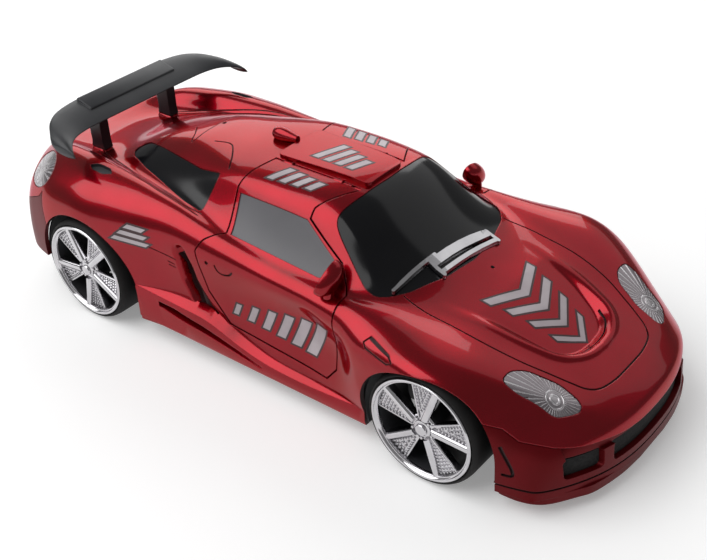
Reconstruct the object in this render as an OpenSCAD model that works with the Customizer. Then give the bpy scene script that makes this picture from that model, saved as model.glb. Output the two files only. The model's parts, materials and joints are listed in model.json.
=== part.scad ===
// Radio-controlled stunt car of the 1:16 class: a gullwing coupe body on a rear-drive chassis.
// Millimetres. Origin on the ground midway between the axles, +X to the nose, +Y left, +Z up.

/* [Body] */
// Overall length of the body, nose to tail
body_length = 287; // [285:0.5:289]
// Wall thickness of the body moulding
body_wall = 2; // [1.8:0.1:2.2]
// Height of the body's lower edge above the ground
sill_z = 8; // [7.8:0.1:8.2]
// Width of the gap round each door
door_gap = 0.6; // [0.5:0.1:0.8]
// Distance of the door hinge from the centreline
hinge_y = 13; // [12.8:0.1:13.2]
// Height of the door hinge, just under the roof skin
hinge_z = 75.6; // [75.5:0.1:75.7]

/* [Wheels] */
// Distance between the axles
wheelbase = 170; // [169:0.5:171]
// Distance between the outer wheel faces
track_face = 117; // [116.5:0.5:118]
// Tyre diameter
tyre_d = 45; // [44:0.5:45.5]
// Tyre width
tyre_w = 20; // [19:0.5:20]
// Diameter of the visible rim
rim_d = 41; // [40:0.5:41]
// Number of rim spokes
spokes = 5; // [4:1:6]

/* [Drive] */
// Module of the drive gears
gear_module = 0.6; // [0.58:0.01:0.6]
// Teeth of the pinion and of the small idler gear
small_teeth = 12; // [12:1:13]
// Teeth of the large idler gear and of the axle gear
large_teeth = 36; // [35:1:36]
// Diameter of the rear axle
axle_d = 4; // [3.8:0.1:4]

/* [Steering] */
// Distance of each king pin from the centreline
king_y = 38; // [37.5:0.5:38]
// Length of the steering arms
steer_arm = 11.5; // [11:0.5:11.5]
// Largest steering angle to either side
steer_angle = 10; // [8:1:10]

/* [Battery] */
// Diameter of one battery cell
cell_d = 14.5; // [14:0.1:14.5]
// Length of one battery cell
cell_l = 50.5; // [50:0.5:50.5]
// Number of battery cells
cells = 4; // [2:1:4]

/* [Hidden] */

$fn = 48;
eps = 0.01;

// Candy red body, black trim, chrome and the plain colours of the hidden pieces
red = [0.62, 0.03, 0.06];
dark_red = [0.45, 0.02, 0.04];
black = [0.03, 0.03, 0.035];
glass_black = [0.02, 0.02, 0.025];
grey_glass = [0.12, 0.12, 0.13];
chrome = [0.8, 0.81, 0.83];
rubber = [0.04, 0.04, 0.04];
steel = [0.6, 0.6, 0.62];
brass = [0.75, 0.6, 0.3];
board_green = [0.1, 0.35, 0.15];
nylon = [0.9, 0.89, 0.84];

// Places that follow from the driving sizes
axle_x = wheelbase / 2;
hub_z = tyre_d / 2;
face_y = track_face / 2;
stretch = body_length / 287;

// Body lines: each key point is [row, half width, height], and a row bows back towards the sides
bow_keys = [[-143.5, -17], [-100, -12.5], [-60, -5], [-14, 0], [33, 30], [68, 42], [100, 36], [143.5, 26]];
bow_half = 60;
bow_power = 2.5;
rows = [
  -143.5, -142.5, -138, -130, -120, -109, -97, -84, -70, -56, -42, -29, -17, -4, 10,
  23, 34, 44, 54, 64, 74, 85, 96, 107, 117, 126, 134, 140, 143, 143.5
];
sill_line = [
  [-143.5, 46, sill_z], [-130, 54, sill_z], [-109, 56, sill_z], [-84, 57, sill_z], [-56, 54, sill_z],
  [-29, 51, sill_z], [10, 51, sill_z], [54, 51, sill_z], [90, 51.5, sill_z], [107, 55, sill_z],
  [126, 57, sill_z], [143.5, 52, sill_z]
];
rocker_line = [
  [-143.5, 43, 16], [-138, 53, 20], [-120, 57, 22], [-97, 58.5, 22], [-70, 56, 20], [-42, 51, 19],
  [0, 50, 18], [54, 51, 18], [74, 53, 19], [90, 57, 20], [117, 60.5, 22], [134, 56, 20], [143.5, 50, 13]
];
waist_line = [
  [-143.5, 39, 28], [-138, 53, 34], [-120, 57.5, 40], [-97, 59.5, 42], [-70, 56.5, 40], [-42, 51, 38],
  [0, 48, 36], [54, 45.5, 38], [74, 50, 36], [90, 58, 36], [117, 62, 38], [125, 61.5, 36],
  [132, 58, 30], [143.5, 47, 18]
];
shoulder_line = [
  [-143.5, 34, 39], [-138, 49, 47], [-120, 54.5, 55], [-97, 57.5, 57], [-70, 56, 57], [-42, 53.5, 56],
  [-17, 53.5, 53], [20, 53, 51], [54, 53, 49], [74, 54, 48.5], [96, 59.5, 48], [107, 62, 48.5],
  [112, 62.5, 48.5], [117, 64, 49], [121, 65, 48.5], [125, 64.5, 46.5], [130, 60.5, 39.5],
  [134, 53.5, 31.5], [143.5, 43, 22]
];
crest_line = [
  [-143.5, 26, 46], [-138, 32, 54], [-120, 31.5, 65], [-97, 34, 67.5], [-70, 38, 66.5], [-42, 41.5, 63.5],
  [-17, 45.5, 59], [20, 47, 55], [54, 47, 53.5], [74, 48, 53.5], [96, 49, 52], [112, 50, 50.8],
  [118, 49, 48.2], [124, 46, 43.8], [134, 40, 34.5], [143.5, 36, 25]
];
gutter_line = [
  [-143.5, 20, 49], [-138, 24, 54], [-120, 27, 56.5], [-97, 29.5, 57.5], [-70, 33, 57.5], [-42, 37, 57.5],
  [-17, 42, 57], [20, 42, 55], [54, 41.5, 53], [64, 41, 52], [74, 39, 52], [96, 36, 49], [112, 34, 45],
  [124, 33, 40.5], [134, 31, 34], [143.5, 29, 26]
];
rail_line = [
  [-143.5, 15, 50], [-138, 18, 53], [-120, 20, 54], [-97, 22, 57], [-84, 24, 61], [-56, 27, 65],
  [-29, 30, 69], [-17, 31, 70], [10, 31.5, 70], [34, 31, 69], [50, 34, 61], [62, 35, 54.5], [70, 32, 52],
  [96, 27, 47.5], [124, 24, 38], [134, 23, 33], [143.5, 22, 26.5]
];
cant_line = [
  [-143.5, 10, 50], [-138, 11, 52.5], [-120, 13, 53.5], [-97, 15, 58.5], [-84, 16, 64], [-56, 18, 71],
  [-29, 25, 74], [-17, 28, 75], [10, 28, 75], [32, 27, 74], [44, 27, 68], [58, 27, 57.5], [66, 25, 53],
  [74, 22, 51], [96, 18, 47.5], [124, 16, 38], [134, 15, 33], [143.5, 15, 26.5]
];
mid_line = [
  [-143.5, 5, 50], [-138, 6, 52], [-120, 7, 53.5], [-97, 8, 59], [-84, 9, 66], [-56, 11, 74], [-29, 14, 76.5],
  [-17, 15, 76.5], [24, 15, 76.5], [34, 14, 75], [44, 14, 69], [58, 13, 58.5], [67, 12, 53], [74, 11, 51],
  [96, 9, 47.5], [124, 8, 38], [134, 8, 33], [143.5, 8, 26.5]
];
crown_line = [
  [-143.5, 0, 50], [-138, 0, 52], [-120, 0, 53.5], [-97, 0, 59], [-84, 0, 66.5], [-56, 0, 74.5], [-29, 0, 77],
  [-17, 0, 77], [24, 0, 77], [34, 0, 75.5], [44, 0, 69.5], [58, 0, 59], [68, 0, 53], [75, 0, 51],
  [96, 0, 47.5], [124, 0, 38], [134, 0, 33], [143.5, 0, 26.5]
];
lines = [
  sill_line, rocker_line, waist_line, shoulder_line, crest_line,
  gutter_line, rail_line, cant_line, mid_line, crown_line
];
// Samples of the smooth skin between two rows and between two lines
row_steps = 1;
line_steps = 2;

// Point of a key list at a row, straight between the keys
function at(keys, row, i = 0) =
  i == len(keys) - 2 || row <= keys[i + 1][0]
    ? keys[i] + (row - keys[i][0]) / (keys[i + 1][0] - keys[i][0]) * (keys[i + 1] - keys[i])
    : at(keys, row, i + 1);

// Control point of one line at one row, where the end rows fold down to the sill
function control(keys, i) =
  let (p = at(keys, rows[i]))
  let (back = at(bow_keys, rows[i])[1] * pow(p[1] / bow_half, bow_power))
  [(rows[i] - back) * stretch, p[1], i == 0 || i == len(rows) - 1 ? sill_z : p[2]];

// Control points across one row, left sill to right sill
function control_row(i) =
  let (left = [for (k = lines) control(k, i)])
  concat(left, [for (j = [len(left) - 2 : -1 : 0]) [left[j].x, -left[j].y, left[j].z]]);

// Uniform cubic spline through the neighbourhood of a list of points
function spline(p, t) =
  let (n = len(p), i = min(floor(t), n - 2), u = t - i)
  let (a = i > 0 ? p[i - 1] : 2 * p[0] - p[1])
  let (d = i + 2 < n ? p[i + 2] : 2 * p[n - 1] - p[n - 2])
  (pow(1 - u, 3) * a + (3 * pow(u, 3) - 6 * u * u + 4) * p[i]
    + (-3 * pow(u, 3) + 3 * u * u + 3 * u + 1) * p[i + 1] + pow(u, 3) * d) / 6;

// Smooth skin of the body as a grid of points
function skin_grid() =
  let (net = [for (i = [0 : len(rows) - 1]) control_row(i)])
  let (columns = [for (j = [0 : len(net[0]) - 1]) [for (r = net) r[j]]])
  [for (t = [0 : 1 / row_steps : len(net) - 1])
    let (across = [for (c = columns) spline(c, t)])
    [for (s = [0 : 1 / line_steps : len(across) - 1]) spline(across, s)]];

// Grid moved inwards by a depth, with its lower edge dropped below the sill
function inset_grid(g, depth) =
  let (last = len(g) - 1, end = len(g[0]) - 1)
  [for (i = [0 : last]) [for (j = [0 : end])
    let (along = g[min(i + 1, last)][j] - g[max(i - 1, 0)][j])
    let (across = g[i][min(j + 1, end)] - g[i][max(j - 1, 0)])
    let (n = cross(along, across))
    let (p = g[i][j] + depth * n / norm(n))
    let (edge = i == 0 || i == last || j == 0 || j == end)
    edge ? [p.x, p.y, sill_z - 1] : p]];

// The inner face of the wall has only the points that lie on the lines
outer_grid = skin_grid();
inner_grid = [for (r = outer_grid) [for (j = [0 : line_steps : len(r) - 1]) r[j]]];

// Closed solid under a grid of points
module grid_solid(g) {
  m = len(g);
  n = len(g[0]);
  top = [for (i = [0 : m - 2]) for (j = [0 : n - 2])
    for (f = [[0, n, n + 1], [0, n + 1, 1]]) [for (k = f) i * n + j + k]];
  rim_loop = concat(
    [for (j = [0 : n - 1]) j],
    [for (i = [1 : m - 1]) i * n + n - 1],
    [for (j = [n - 2 : -1 : 0]) (m - 1) * n + j],
    [for (i = [m - 2 : -1 : 1]) i * n]
  );
  polyhedron(points = [for (r = g) for (p = r) p], faces = concat(top, [rim_loop]));
}

// Body solid whose surface lies a depth under the outer skin
module under_skin(depth) {
  grid_solid(depth == 0 ? outer_grid : inset_grid(depth < body_wall ? outer_grid : inner_grid, depth));
}

// Layer of the skin between two depths
module layer(from, to) {
  difference() {
    under_skin(from);
    under_skin(to);
  }
}

// Keeps one boolean as one smooth faceted piece
module one_piece() {
  resize([0, 0, 0])
    children();
}

// Children on one side of the car, given as modelled on the left
module side(s) {
  if (s < 0)
    mirror([0, 1, 0])
      children();
  else
    children();
}

// Flat outline in length and height, made a bar across the car between two widths
module across(y0, y1) {
  translate([0, y1, 0])
    rotate([90, 0, 0])
      linear_extrude(y1 - y0)
        children();
}

// Round bar across the car
module bar_y(r, y0, y1) {
  translate([0, y0, 0])
    rotate([-90, 0, 0])
      cylinder(r = r, h = y1 - y0);
}

// Plan outline made a tall prism
module tall(z0 = 0, z1 = 100) {
  translate([0, 0, z0])
    linear_extrude(z1 - z0)
      children();
}

// Solid swept by an outline of [row, distance from the hinge] round the left door hinge
module round_hinge(from, to) {
  translate([0, hinge_y, hinge_z])
    rotate([0, 90, 0])
      rotate([0, 0, 90 + from])
        rotate_extrude(angle = to - from, $fn = 60)
          mirror([1, -1])
            children();
}

// Plan list with its mirror image, closed round both sides of the car
function both_sides(p) = concat(p, [for (i = [len(p) - 1 : -1 : 0]) [p[i].x, -p[i].y]]);

// Row and distance from the left hinge of a point on the skin
function from_hinge(p) = [p.x, norm([p.y - hinge_y, p.z - hinge_z])];

// Door edge on the skin, from the roof's rear corner down, forward and up to the roof's front corner
pin_r = 0.5;
seam_r = pin_r + 0.15;
door_rear = -13.5;
door_front = 27;
door_lip = 45;
door_swing = 70;
door_edge = [
  [-18, 30, 70.3], [-14, 42.5, 57.8], [-20, 49, 56.4], [-23, 50.5, 50], [-19.6, 50, 34], [-10, 49, 21.5],
  [39, 50, 18.4], [44, 50, 24.5], [44, 46.4, 40], [44, 50.8, 47.7], [43.5, 43.4, 52.7], [36, 38, 63],
  [18.2, 30, 66.7], [18.2, 28, 71]
];
window_edge = [
  [-15.8, 31, 68], [17, 31, 67.4], [32.5, 37.5, 62.2], [37, 40, 57], [30, 41.5, 53.6], [-12, 42, 57.2]
];

module door_outline(grow, inner_r) {
  edge = concat([[door_rear, -5]], [for (p = door_edge) from_hinge(p)], [[door_front, -5]]);
  intersection() {
    offset(delta = grow)
      polygon(edge);
    translate([-body_length, inner_r])
      square([2 * body_length, body_length]);
  }
}

module door_space(grow, inner_r, to) {
  round_hinge(-100, to)
    door_outline(grow, inner_r);
}

module window_space() {
  round_hinge(-70, 10)
    offset(r = 1)
      offset(delta = -1)
        polygon([for (p = window_edge) from_hinge(p)]);
}

// Glass, lamp and seam outlines
windscreen_edge = [
  [30, 0], [29.3, 14], [27.8, 26], [28.5, 29.2], [31.6, 31.2], [47.7, 37.8], [52.3, 38.2], [56.1, 35.5],
  [60.5, 29.5], [66, 14], [67.8, 0]
];
quarter_edge = [
  [-30, 26.8], [-42.5, 25.6], [-60, 21.2], [-75, 17], [-84, 14.6], [-88, 16], [-89, 19], [-86, 22.5],
  [-74, 27.4], [-61, 31.3], [-42.5, 36.9], [-31, 38.8]
];
lamp_spots = [[122, 33, 5.5], [111.8, 36.9, 5.3], [108.2, 41.4, 1], [127.7, 29.2, 1.8]];
front_seam = [
  [95, -1], [95, 38], [101, 36.7], [113, 33], [118.3, 29.1], [127.7, 26.5], [138, 25], [143.5, 23],
  [160, 23], [160, -1]
];
rear_seam = [[-160, -1], [-160, 40], [-128, 40], [-113, 47], [-110.5, 50], [-107, 35], [-107, -1]];
arch_front = [axle_x + 0.3, 18.7, 27.4];
arch_rear = [-axle_x - 1.5, 19.5, 28];
roof_edge = [[28.8, 10.2], [-13.5, 12.2]];
glass_depth = 0.4;
glass_wall = 1.3;

module windscreen_space() {
  tall(45)
    offset(r = 1.5)
      offset(delta = -1.5)
        polygon(concat(windscreen_edge, [for (i = [len(windscreen_edge) - 2 : -1 : 1])
          [windscreen_edge[i].x, -windscreen_edge[i].y]]));
}

module quarter_space() {
  tall(50)
    offset(r = 1.5)
      offset(delta = -1.5)
        polygon(quarter_edge);
}

module headlight_space() {
  tall(25, 60)
    hull()
      for (s = lamp_spots)
        translate([s.x, s.y])
          circle(s.z, $fn = 32);
}

module tail_light_space() {
  translate([-120, 45.5, 54.8])
    rotate([0, 0, 24])
      scale([12, 10, 6.8])
        sphere(1, $fn = 28);
}

module wheel_arch(a) {
  translate([a[0], 0, a[1]])
    bar_y(a[2], 28, 80, $fn = 60);
}

module front_region() {
  across(-80, 80)
    polygon(front_seam);
}

module rear_region() {
  across(-80, 80)
    polygon(rear_seam);
}

// Openings under the nose: a wide one between two ribs and one outside each rib
module nose_openings() {
  for (o = [[-43, -29], [-25, 25], [29, 43]])
    translate([115, o[0], 14.5])
      cube([40, o[1] - o[0], 7.5]);
}

// Posts that the body is screwed down on
boss_places = [[106, 16], [-104, 22]];
boss_r = 3.2;
screw_r = 1.2;
floor_top = 9.5;
floor_bottom = 7;

module body_bosses() {
  intersection() {
    for (b = boss_places)
      for (s = [-1, 1])
        translate([b.x, s * b.y, floor_top])
          difference() {
            cylinder(r = boss_r, h = 60, $fn = 24);
            translate([0, 0, -1])
              cylinder(r = screw_r / cos(180 / 24), h = 14, $fn = 24);
          }
    under_skin(1);
  }
}

// Red feet that the wing posts stand on
post_x = -109.5;
post_y = 19.5;
foot_z = 56.8;

module wing_feet() {
  for (s = [-1, 1])
    translate([post_x - 5.5, s * post_y - 3.2, 52])
      cube([11, 6.4, foot_z - 52]);
}

// Groove for the hinge pin, wider at the knuckles
knuckle_spans = [[-9, -5], [15, 19]];
knuckle_r = 1.2;
pin_rear = -16.5;
pin_front = 23;

module hinge_channel() {
  notches = [for (k = knuckle_spans) [k[0] - 0.3, k[1] + 0.3, knuckle_r + 0.2]];
  for (k = concat([[pin_rear - 0.1, door_front, seam_r]], notches))
    translate([k[0], hinge_y, hinge_z])
      rotate([0, 90, 0])
        cylinder(r = k[2], h = k[1] - k[0], $fn = 32);
}

// Flared skirt along the sill, deep at the rear wheel and shallow under the door: [row, width, height]
skirt_keys = [
  [-64, 55.2, 25], [-33, 54.8, 23.5], [-21, 54.3, 22.5], [-12, 54, 20], [-3, 53.8, 16.8], [10, 53.7, 14],
  [26, 53.7, 13.2], [42, 53.8, 14], [58, 54, 15.5]
];
skirt_foot = 53.3;
skirt_slope = [5, 2.5];

module skirt_section(k) {
  translate([k.x, 0, 0])
    rotate([90, 0, 90])
      linear_extrude(0.02)
        polygon([
          [skirt_foot - 7, sill_z], [skirt_foot, sill_z], [k.y, sill_z + 2], [k.y, k.z - 1], [k.y - 0.4, k.z],
          [k.y - skirt_slope.x, k.z + skirt_slope.y], [skirt_foot - 7, k.z + skirt_slope.y]
        ]);
}

module skirt() {
  difference() {
    for (i = [1 : len(skirt_keys) - 1])
      hull() {
        skirt_section(skirt_keys[i - 1]);
        skirt_section(skirt_keys[i]);
      }
    under_skin(body_wall);
  }
}

module body_shell() {
  color(red)
    one_piece()
      difference() {
        union() {
          difference() {
            layer(0, body_wall);
            front_region();
            rear_region();
          }
          for (s = [-1, 1])
            side(s)
              skirt();
          body_bosses();
          wing_feet();
        }
        windscreen_space();
        for (s = [-1, 1])
          side(s) {
            door_space(door_gap / 2, 0, door_lip + door_swing + 5);
            hinge_channel();
            quarter_space();
            headlight_space();
            tail_light_space();
            wheel_arch(arch_front);
            wheel_arch(arch_rear);
          }
      }
}

module front_bumper() {
  color(dark_red)
    one_piece()
      difference() {
        union() {
          intersection() {
            layer(0, body_wall);
            front_region();
          }
          splitter();
        }
        nose_openings();
        for (s = [-1, 1])
          side(s) {
            wheel_arch(arch_front);
            headlight_space();
          }
      }
}

// Flat lip round the nose at the bottom of the bumper
splitter_rear = 111;
splitter_edge = [
  [splitter_rear - 10, 52.4], [splitter_rear, 52.4], [121, 51.5], [128.3, 47.7], [135, 38.5],
  [138.5, 32.3], [141.5, 20], [142.6, 9]
];
splitter_bottom = 5.4;

module splitter() {
  tall(splitter_bottom, sill_z + 1)
    difference() {
      polygon(both_sides(splitter_edge));
      offset(delta = -7)
        polygon(both_sides(splitter_edge));
      translate([0, -80])
        square([splitter_rear, 160]);
    }
}

module grille() {
  color(black)
    one_piece()
      intersection() {
        layer(body_wall, body_wall + 1.5);
        translate([110, -46, 10.5])
          cube([50, 92, 10.5]);
      }
}

// The tail ends well above the ground
tail_bottom = 18.5;

module rear_bumper() {
  color(dark_red)
    one_piece()
      difference() {
        intersection() {
          layer(0, body_wall);
          rear_region();
        }
        translate([-160, -80, 0])
          cube([60, 160, tail_bottom]);
        for (s = [-1, 1])
          side(s) {
            wheel_arch(arch_rear);
            tail_light_space();
          }
      }
}

module roof_panel() {
  color(red)
    one_piece()
      intersection() {
        layer(-1.6, 0);
        tall(60)
          offset(r = 2)
            offset(delta = -2)
              polygon(both_sides(roof_edge));
      }
}

// Round stub that lies behind the roof panel
knob_z = 80;

module roof_knob() {
  color(red)
    translate([0, 0, knob_z]) {
      translate([-19.5, 0, 0])
        rotate([0, 90, 0])
          cylinder(r = 1.8, h = 5.2);
      translate([-19, 0, 0])
        rotate([0, -90, 0])
          rotate_extrude()
            polygon([[0, 0], [2.6, 0], [3.3, 0.9], [3.3, 2.2], [2.6, 3.4], [1.4, 4.1], [0, 4.3]]);
      translate([-19.2, -1.2, -3.6])
        cube([3.6, 2.4, 3.6]);
    }
}

module windscreen() {
  color(glass_black)
    one_piece()
      intersection() {
        layer(glass_depth, glass_depth + glass_wall);
        windscreen_space();
      }
}

// Wiper bars: [start, end, width] in plan
wiper_bars = [
  [[56.5, -33.5], [59, -12], 1.2], [[60.5, -14], [63.5, 14], 3], [[64.5, -15], [67.5, 15.5], 1.6],
  [[59.5, -15.5], [65.5, -15.5], 1.6], [[62.8, 15.5], [68, 15.5], 1.6]
];

module wiper() {
  color(chrome)
    one_piece()
      intersection() {
        layer(-1.3, 0);
        tall(45)
          for (w = wiper_bars)
            hull()
              for (e = [0, 1])
                translate(w[e])
                  circle(d = w[2], $fn = 16);
      }
}

module quarter_glass(s) {
  color(glass_black)
    one_piece()
      side(s)
        intersection() {
          layer(glass_depth, glass_depth + glass_wall);
          quarter_space();
        }
}

module headlight(s) {
  color(chrome)
    one_piece()
      side(s)
        intersection() {
          layer(0.2, body_wall);
          headlight_space();
        }
}

module tail_light(s) {
  color(chrome)
    one_piece()
      side(s)
        intersection() {
          layer(0.2, body_wall);
          tail_light_space();
        }
}

// Wing stations: [width, front edge, rear edge, front height, rear height]
wing_front = [-100, 73];
wing_rear = [-117, 77.9];
wing_keys = [
  [0, wing_front.x, wing_rear.x, wing_front.y, wing_rear.y],
  [20, wing_front.x, wing_rear.x, wing_front.y, wing_rear.y],
  [34, -99.5, -115.5, 73, 77.4], [42, -97, -111.5, 73, 76.4], [47, -92.5, -106, 72.6, 74.6],
  [49.5, -89, -102.5, 71.6, 72.4], [50, -87.6, -100, 70.5, 70.8]
];
wing_tilt = atan2(wing_rear.y - wing_front.y, wing_front.x - wing_rear.x);
wing_thick = 2.4;
wing_steps = 3;

// Lens-shaped wing section at one station
function wing_section(k) =
  let (a = [k[1], k[3]], b = [k[2], k[4]], up = [b.y - a.y, a.x - b.x] / norm(b - a))
  let (lens = [[0, 0.12], [0.2, 0.75], [0.5, 1], [0.8, 0.75], [1, 0.12]])
  let (half = wing_thick / 2)
  [for (e = concat([for (l = lens) l], [for (i = [len(lens) - 1 : -1 : 0]) [lens[i][0], -lens[i][1]]]))
    let (p = a + e[0] * (b - a) + half * e[1] * up) [p.x, k[0], p.y]];

// Closed skin over a row of equal sections
module loft(sections) {
  m = len(sections);
  n = len(sections[0]);
  walls = [for (i = [0 : m - 2]) for (j = [0 : n - 1])
    let (a = i * n + j, b = i * n + (j + 1) % n)
    for (f = [[a, b, b + n], [a, b + n, a + n]]) f];
  polyhedron(
    points = [for (s = sections) for (p = s) p],
    faces = concat(walls, [[for (j = [n - 1 : -1 : 0]) j], [for (j = [0 : n - 1]) (m - 1) * n + j]])
  );
}

module wing_blade() {
  last = len(wing_keys) - 1;
  keys = concat([for (i = [last : -1 : 1]) [-wing_keys[i][0], for (j = [1 : 4]) wing_keys[i][j]]], wing_keys);
  color(black)
    one_piece()
      union() {
        loft([for (t = [0 : 1 / wing_steps : 2 * last]) wing_section(spline(keys, t))]);
        wing_block();
      }
}

// Raised bare block on the wing, square to the blade
module wing_block() {
  translate([-111.3, 0, 76.6])
    rotate([0, wing_tilt, 0])
      translate([-4.6, -24.1, -1])
        cube([9.2, 48.2, 2.1]);
}

module wing_post(s) {
  color(black)
    side(s)
      across(post_y - 2.3, post_y + 2.3)
        polygon([
          [post_x - 4, foot_z], [post_x + 4, foot_z], [post_x + 3.4, foot_z + 3],
          [post_x + 3.4, wing_under(post_x + 3.4)], [post_x - 4, wing_under(post_x - 4)],
          [post_x - 3.4, foot_z + 3]
        ]);
}

// Height of the wing's lower face near the centre
function wing_under(x) = wing_front.y + (wing_front.x - x) * tan(wing_tilt) - wing_thick / 2;

module door(s) {
  color(red)
    one_piece()
      side(s)
        difference() {
          intersection() {
            layer(0, body_wall);
            door_space(-door_gap / 2, seam_r, door_lip);
          }
          window_space();
          for (k = knuckle_spans)
            translate([k[0], hinge_y, hinge_z])
              rotate([0, 90, 0])
                cylinder(r = knuckle_r, h = k[1] - k[0], $fn = 32);
        }
}

module door_glass(s) {
  color(grey_glass)
    one_piece()
      side(s)
        intersection() {
          layer(glass_depth, glass_depth + glass_wall);
          window_space();
        }
}

module door_mirror(s) {
  color(red)
    one_piece()
      side(s)
        union() {
          hull() {
            translate([35.5, 49, 55.2])
              sphere(2.7, $fn = 16);
            translate([37.2, 43.6, 59.4])
              sphere(2.9, $fn = 16);
            translate([40.2, 46, 56.4])
              sphere(2.8, $fn = 16);
          }
          hull() {
            translate([38, 46.5, 54.5])
              sphere(2.2, $fn = 14);
            translate([38, 47, 50.5])
              sphere(2.4, $fn = 14);
          }
        }
}

// Loops round the hinge pin with tabs let into the underside of the door
module hinge_knuckles(s) {
  color(red)
    side(s)
      for (k = knuckle_spans)
        translate([k[0], hinge_y, hinge_z])
          difference() {
            union() {
              rotate([0, 90, 0])
                cylinder(r = knuckle_r, h = k[1] - k[0]);
              translate([0, 0, -2.6])
                cube([k[1] - k[0], 7, 1.5]);
            }
            translate([-1, 0, 0])
              rotate([0, 90, 0])
                cylinder(r = pin_r + 0.05, h = k[1] - k[0] + 2);
          }
}

module hinge_pin(s) {
  color(red)
    side(s)
      translate([pin_rear, hinge_y, hinge_z])
        rotate([0, 90, 0])
          cylinder(r = pin_r, h = pin_front - pin_rear);
}

module door_left() { door(1); }
module door_right() { door(-1); }
module door_glass_left() { door_glass(1); }
module door_glass_right() { door_glass(-1); }
module mirror_left() { door_mirror(1); }
module mirror_right() { door_mirror(-1); }
module hinge_knuckles_left() { hinge_knuckles(1); }
module hinge_knuckles_right() { hinge_knuckles(-1); }
module hinge_pin_left() { hinge_pin(1); }
module hinge_pin_right() { hinge_pin(-1); }
module quarter_glass_left() { quarter_glass(1); }
module quarter_glass_right() { quarter_glass(-1); }
module headlight_left() { headlight(1); }
module headlight_right() { headlight(-1); }
module tail_light_left() { tail_light(1); }
module tail_light_right() { tail_light(-1); }
module wing_post_left() { wing_post(1); }
module wing_post_right() { wing_post(-1); }

// Wheels: the profile is [radius, depth behind the outer face]
seat_r = rim_d / 2 - 1;
rim_wall = 1.2;
spoke_depth = 2.2;
spoke_thick = 2.6;
hub_r = 5.5;
hub_depth = 13;
front_phase = -14;
rear_phase = 14;

// Turned piece with its outer face on the wheel's face, on side s at the axle x
module turned(x, s) {
  translate([x, s * face_y, hub_z])
    rotate([s * 90, 0, 0])
      children();
}

module rim(x, s, bore_r, phase) {
  color(chrome)
    turned(x, s)
      difference() {
        union() {
          difference() {
            union() {
              cylinder(r = rim_d / 2, h = rim_wall);
              cylinder(r = seat_r, h = tyre_w - 1);
            }
            translate([0, 0, -1])
              cylinder(r = seat_r - rim_wall, h = tyre_w + 1);
          }
          for (k = [0 : spokes - 1])
            rotate(phase + 360 / spokes * k)
              translate([0, 0, spoke_depth])
                linear_extrude(spoke_thick)
                  polygon([[3.5, -3], [3.5, 3], [seat_r - 0.8, 5.6], [seat_r - 0.8, -5.6]]);
          translate([0, 0, spoke_depth - 0.8])
            cylinder(r = hub_r, h = hub_depth);
        }
        translate([0, 0, spoke_depth + 1])
          cylinder(r = bore_r, h = 30);
      }
}

module tyre(x, s) {
  color(rubber)
    turned(x, s)
      rotate_extrude()
        polygon([
          [seat_r, rim_wall], [rim_d / 2 + 0.2, rim_wall], [rim_d / 2 + 0.5, 0.6], [hub_z - 0.9, 1],
          [hub_z - 0.3, 2.2], [hub_z, 4.5], [hub_z, tyre_w - 3], [hub_z - 0.8, tyre_w - 0.6],
          [hub_z - 1.6, tyre_w], [seat_r, tyre_w]
        ]);
}

running = 0.05;
axle_end = spoke_depth + 1.1;

module rim_rear_left() { rim(-axle_x, 1, axle_d / 2, rear_phase); }
module rim_rear_right() { rim(-axle_x, -1, axle_d / 2, rear_phase); }
module rim_front_left() { rim(axle_x, 1, axle_d / 2 + running, front_phase); }
module rim_front_right() { rim(axle_x, -1, axle_d / 2 + running, front_phase); }
module tyre_rear_left() { tyre(-axle_x, 1); }
module tyre_rear_right() { tyre(-axle_x, -1); }
module tyre_front_left() { tyre(axle_x, 1); }
module tyre_front_right() { tyre(axle_x, -1); }

// Chassis tray with its arms, bearing posts and battery box
chassis_edge = [[116, 22], [62, 27], [52, 46], [-54, 46], [-62, 33], [-116, 30]];
cell_pitch = cell_d + 0.6;
bay_x = -12;
bay_l = cells * cell_pitch + 1;
bay_w = cell_l + 3;
bay_wall = 1.6;
bay_top = 26;
cover_z = 8.6;
bearing_y = 29;
bearing_l = 5;
bush_r = 4;
king_r = 1.5;
arm_top = 11;
bridge_z = 31.6;
board_x = 41;
board_z = 15;
board_posts = [[-13, -18], [-13, 18], [13, -18], [13, 18]];
servo_x = axle_x + 3;
servo_z = 20;
servo_posts = [[-7, -11], [-7, 11], [9, -11], [9, 11]];
switch_x = 34;
switch_y = -33;
switch_travel = 4;

// Screw places: [x, y, 1 where the screw also holds the battery door]
head_r = 2.4;
head_h = 1.2;
cover_screw_x = bay_x + bay_l / 2 + 4;
screw_places = concat(
  [for (b = boss_places) for (s = [-1, 1]) [b.x, s * b.y, 0]],
  [[cover_screw_x, 0, 1]]
);

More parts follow.
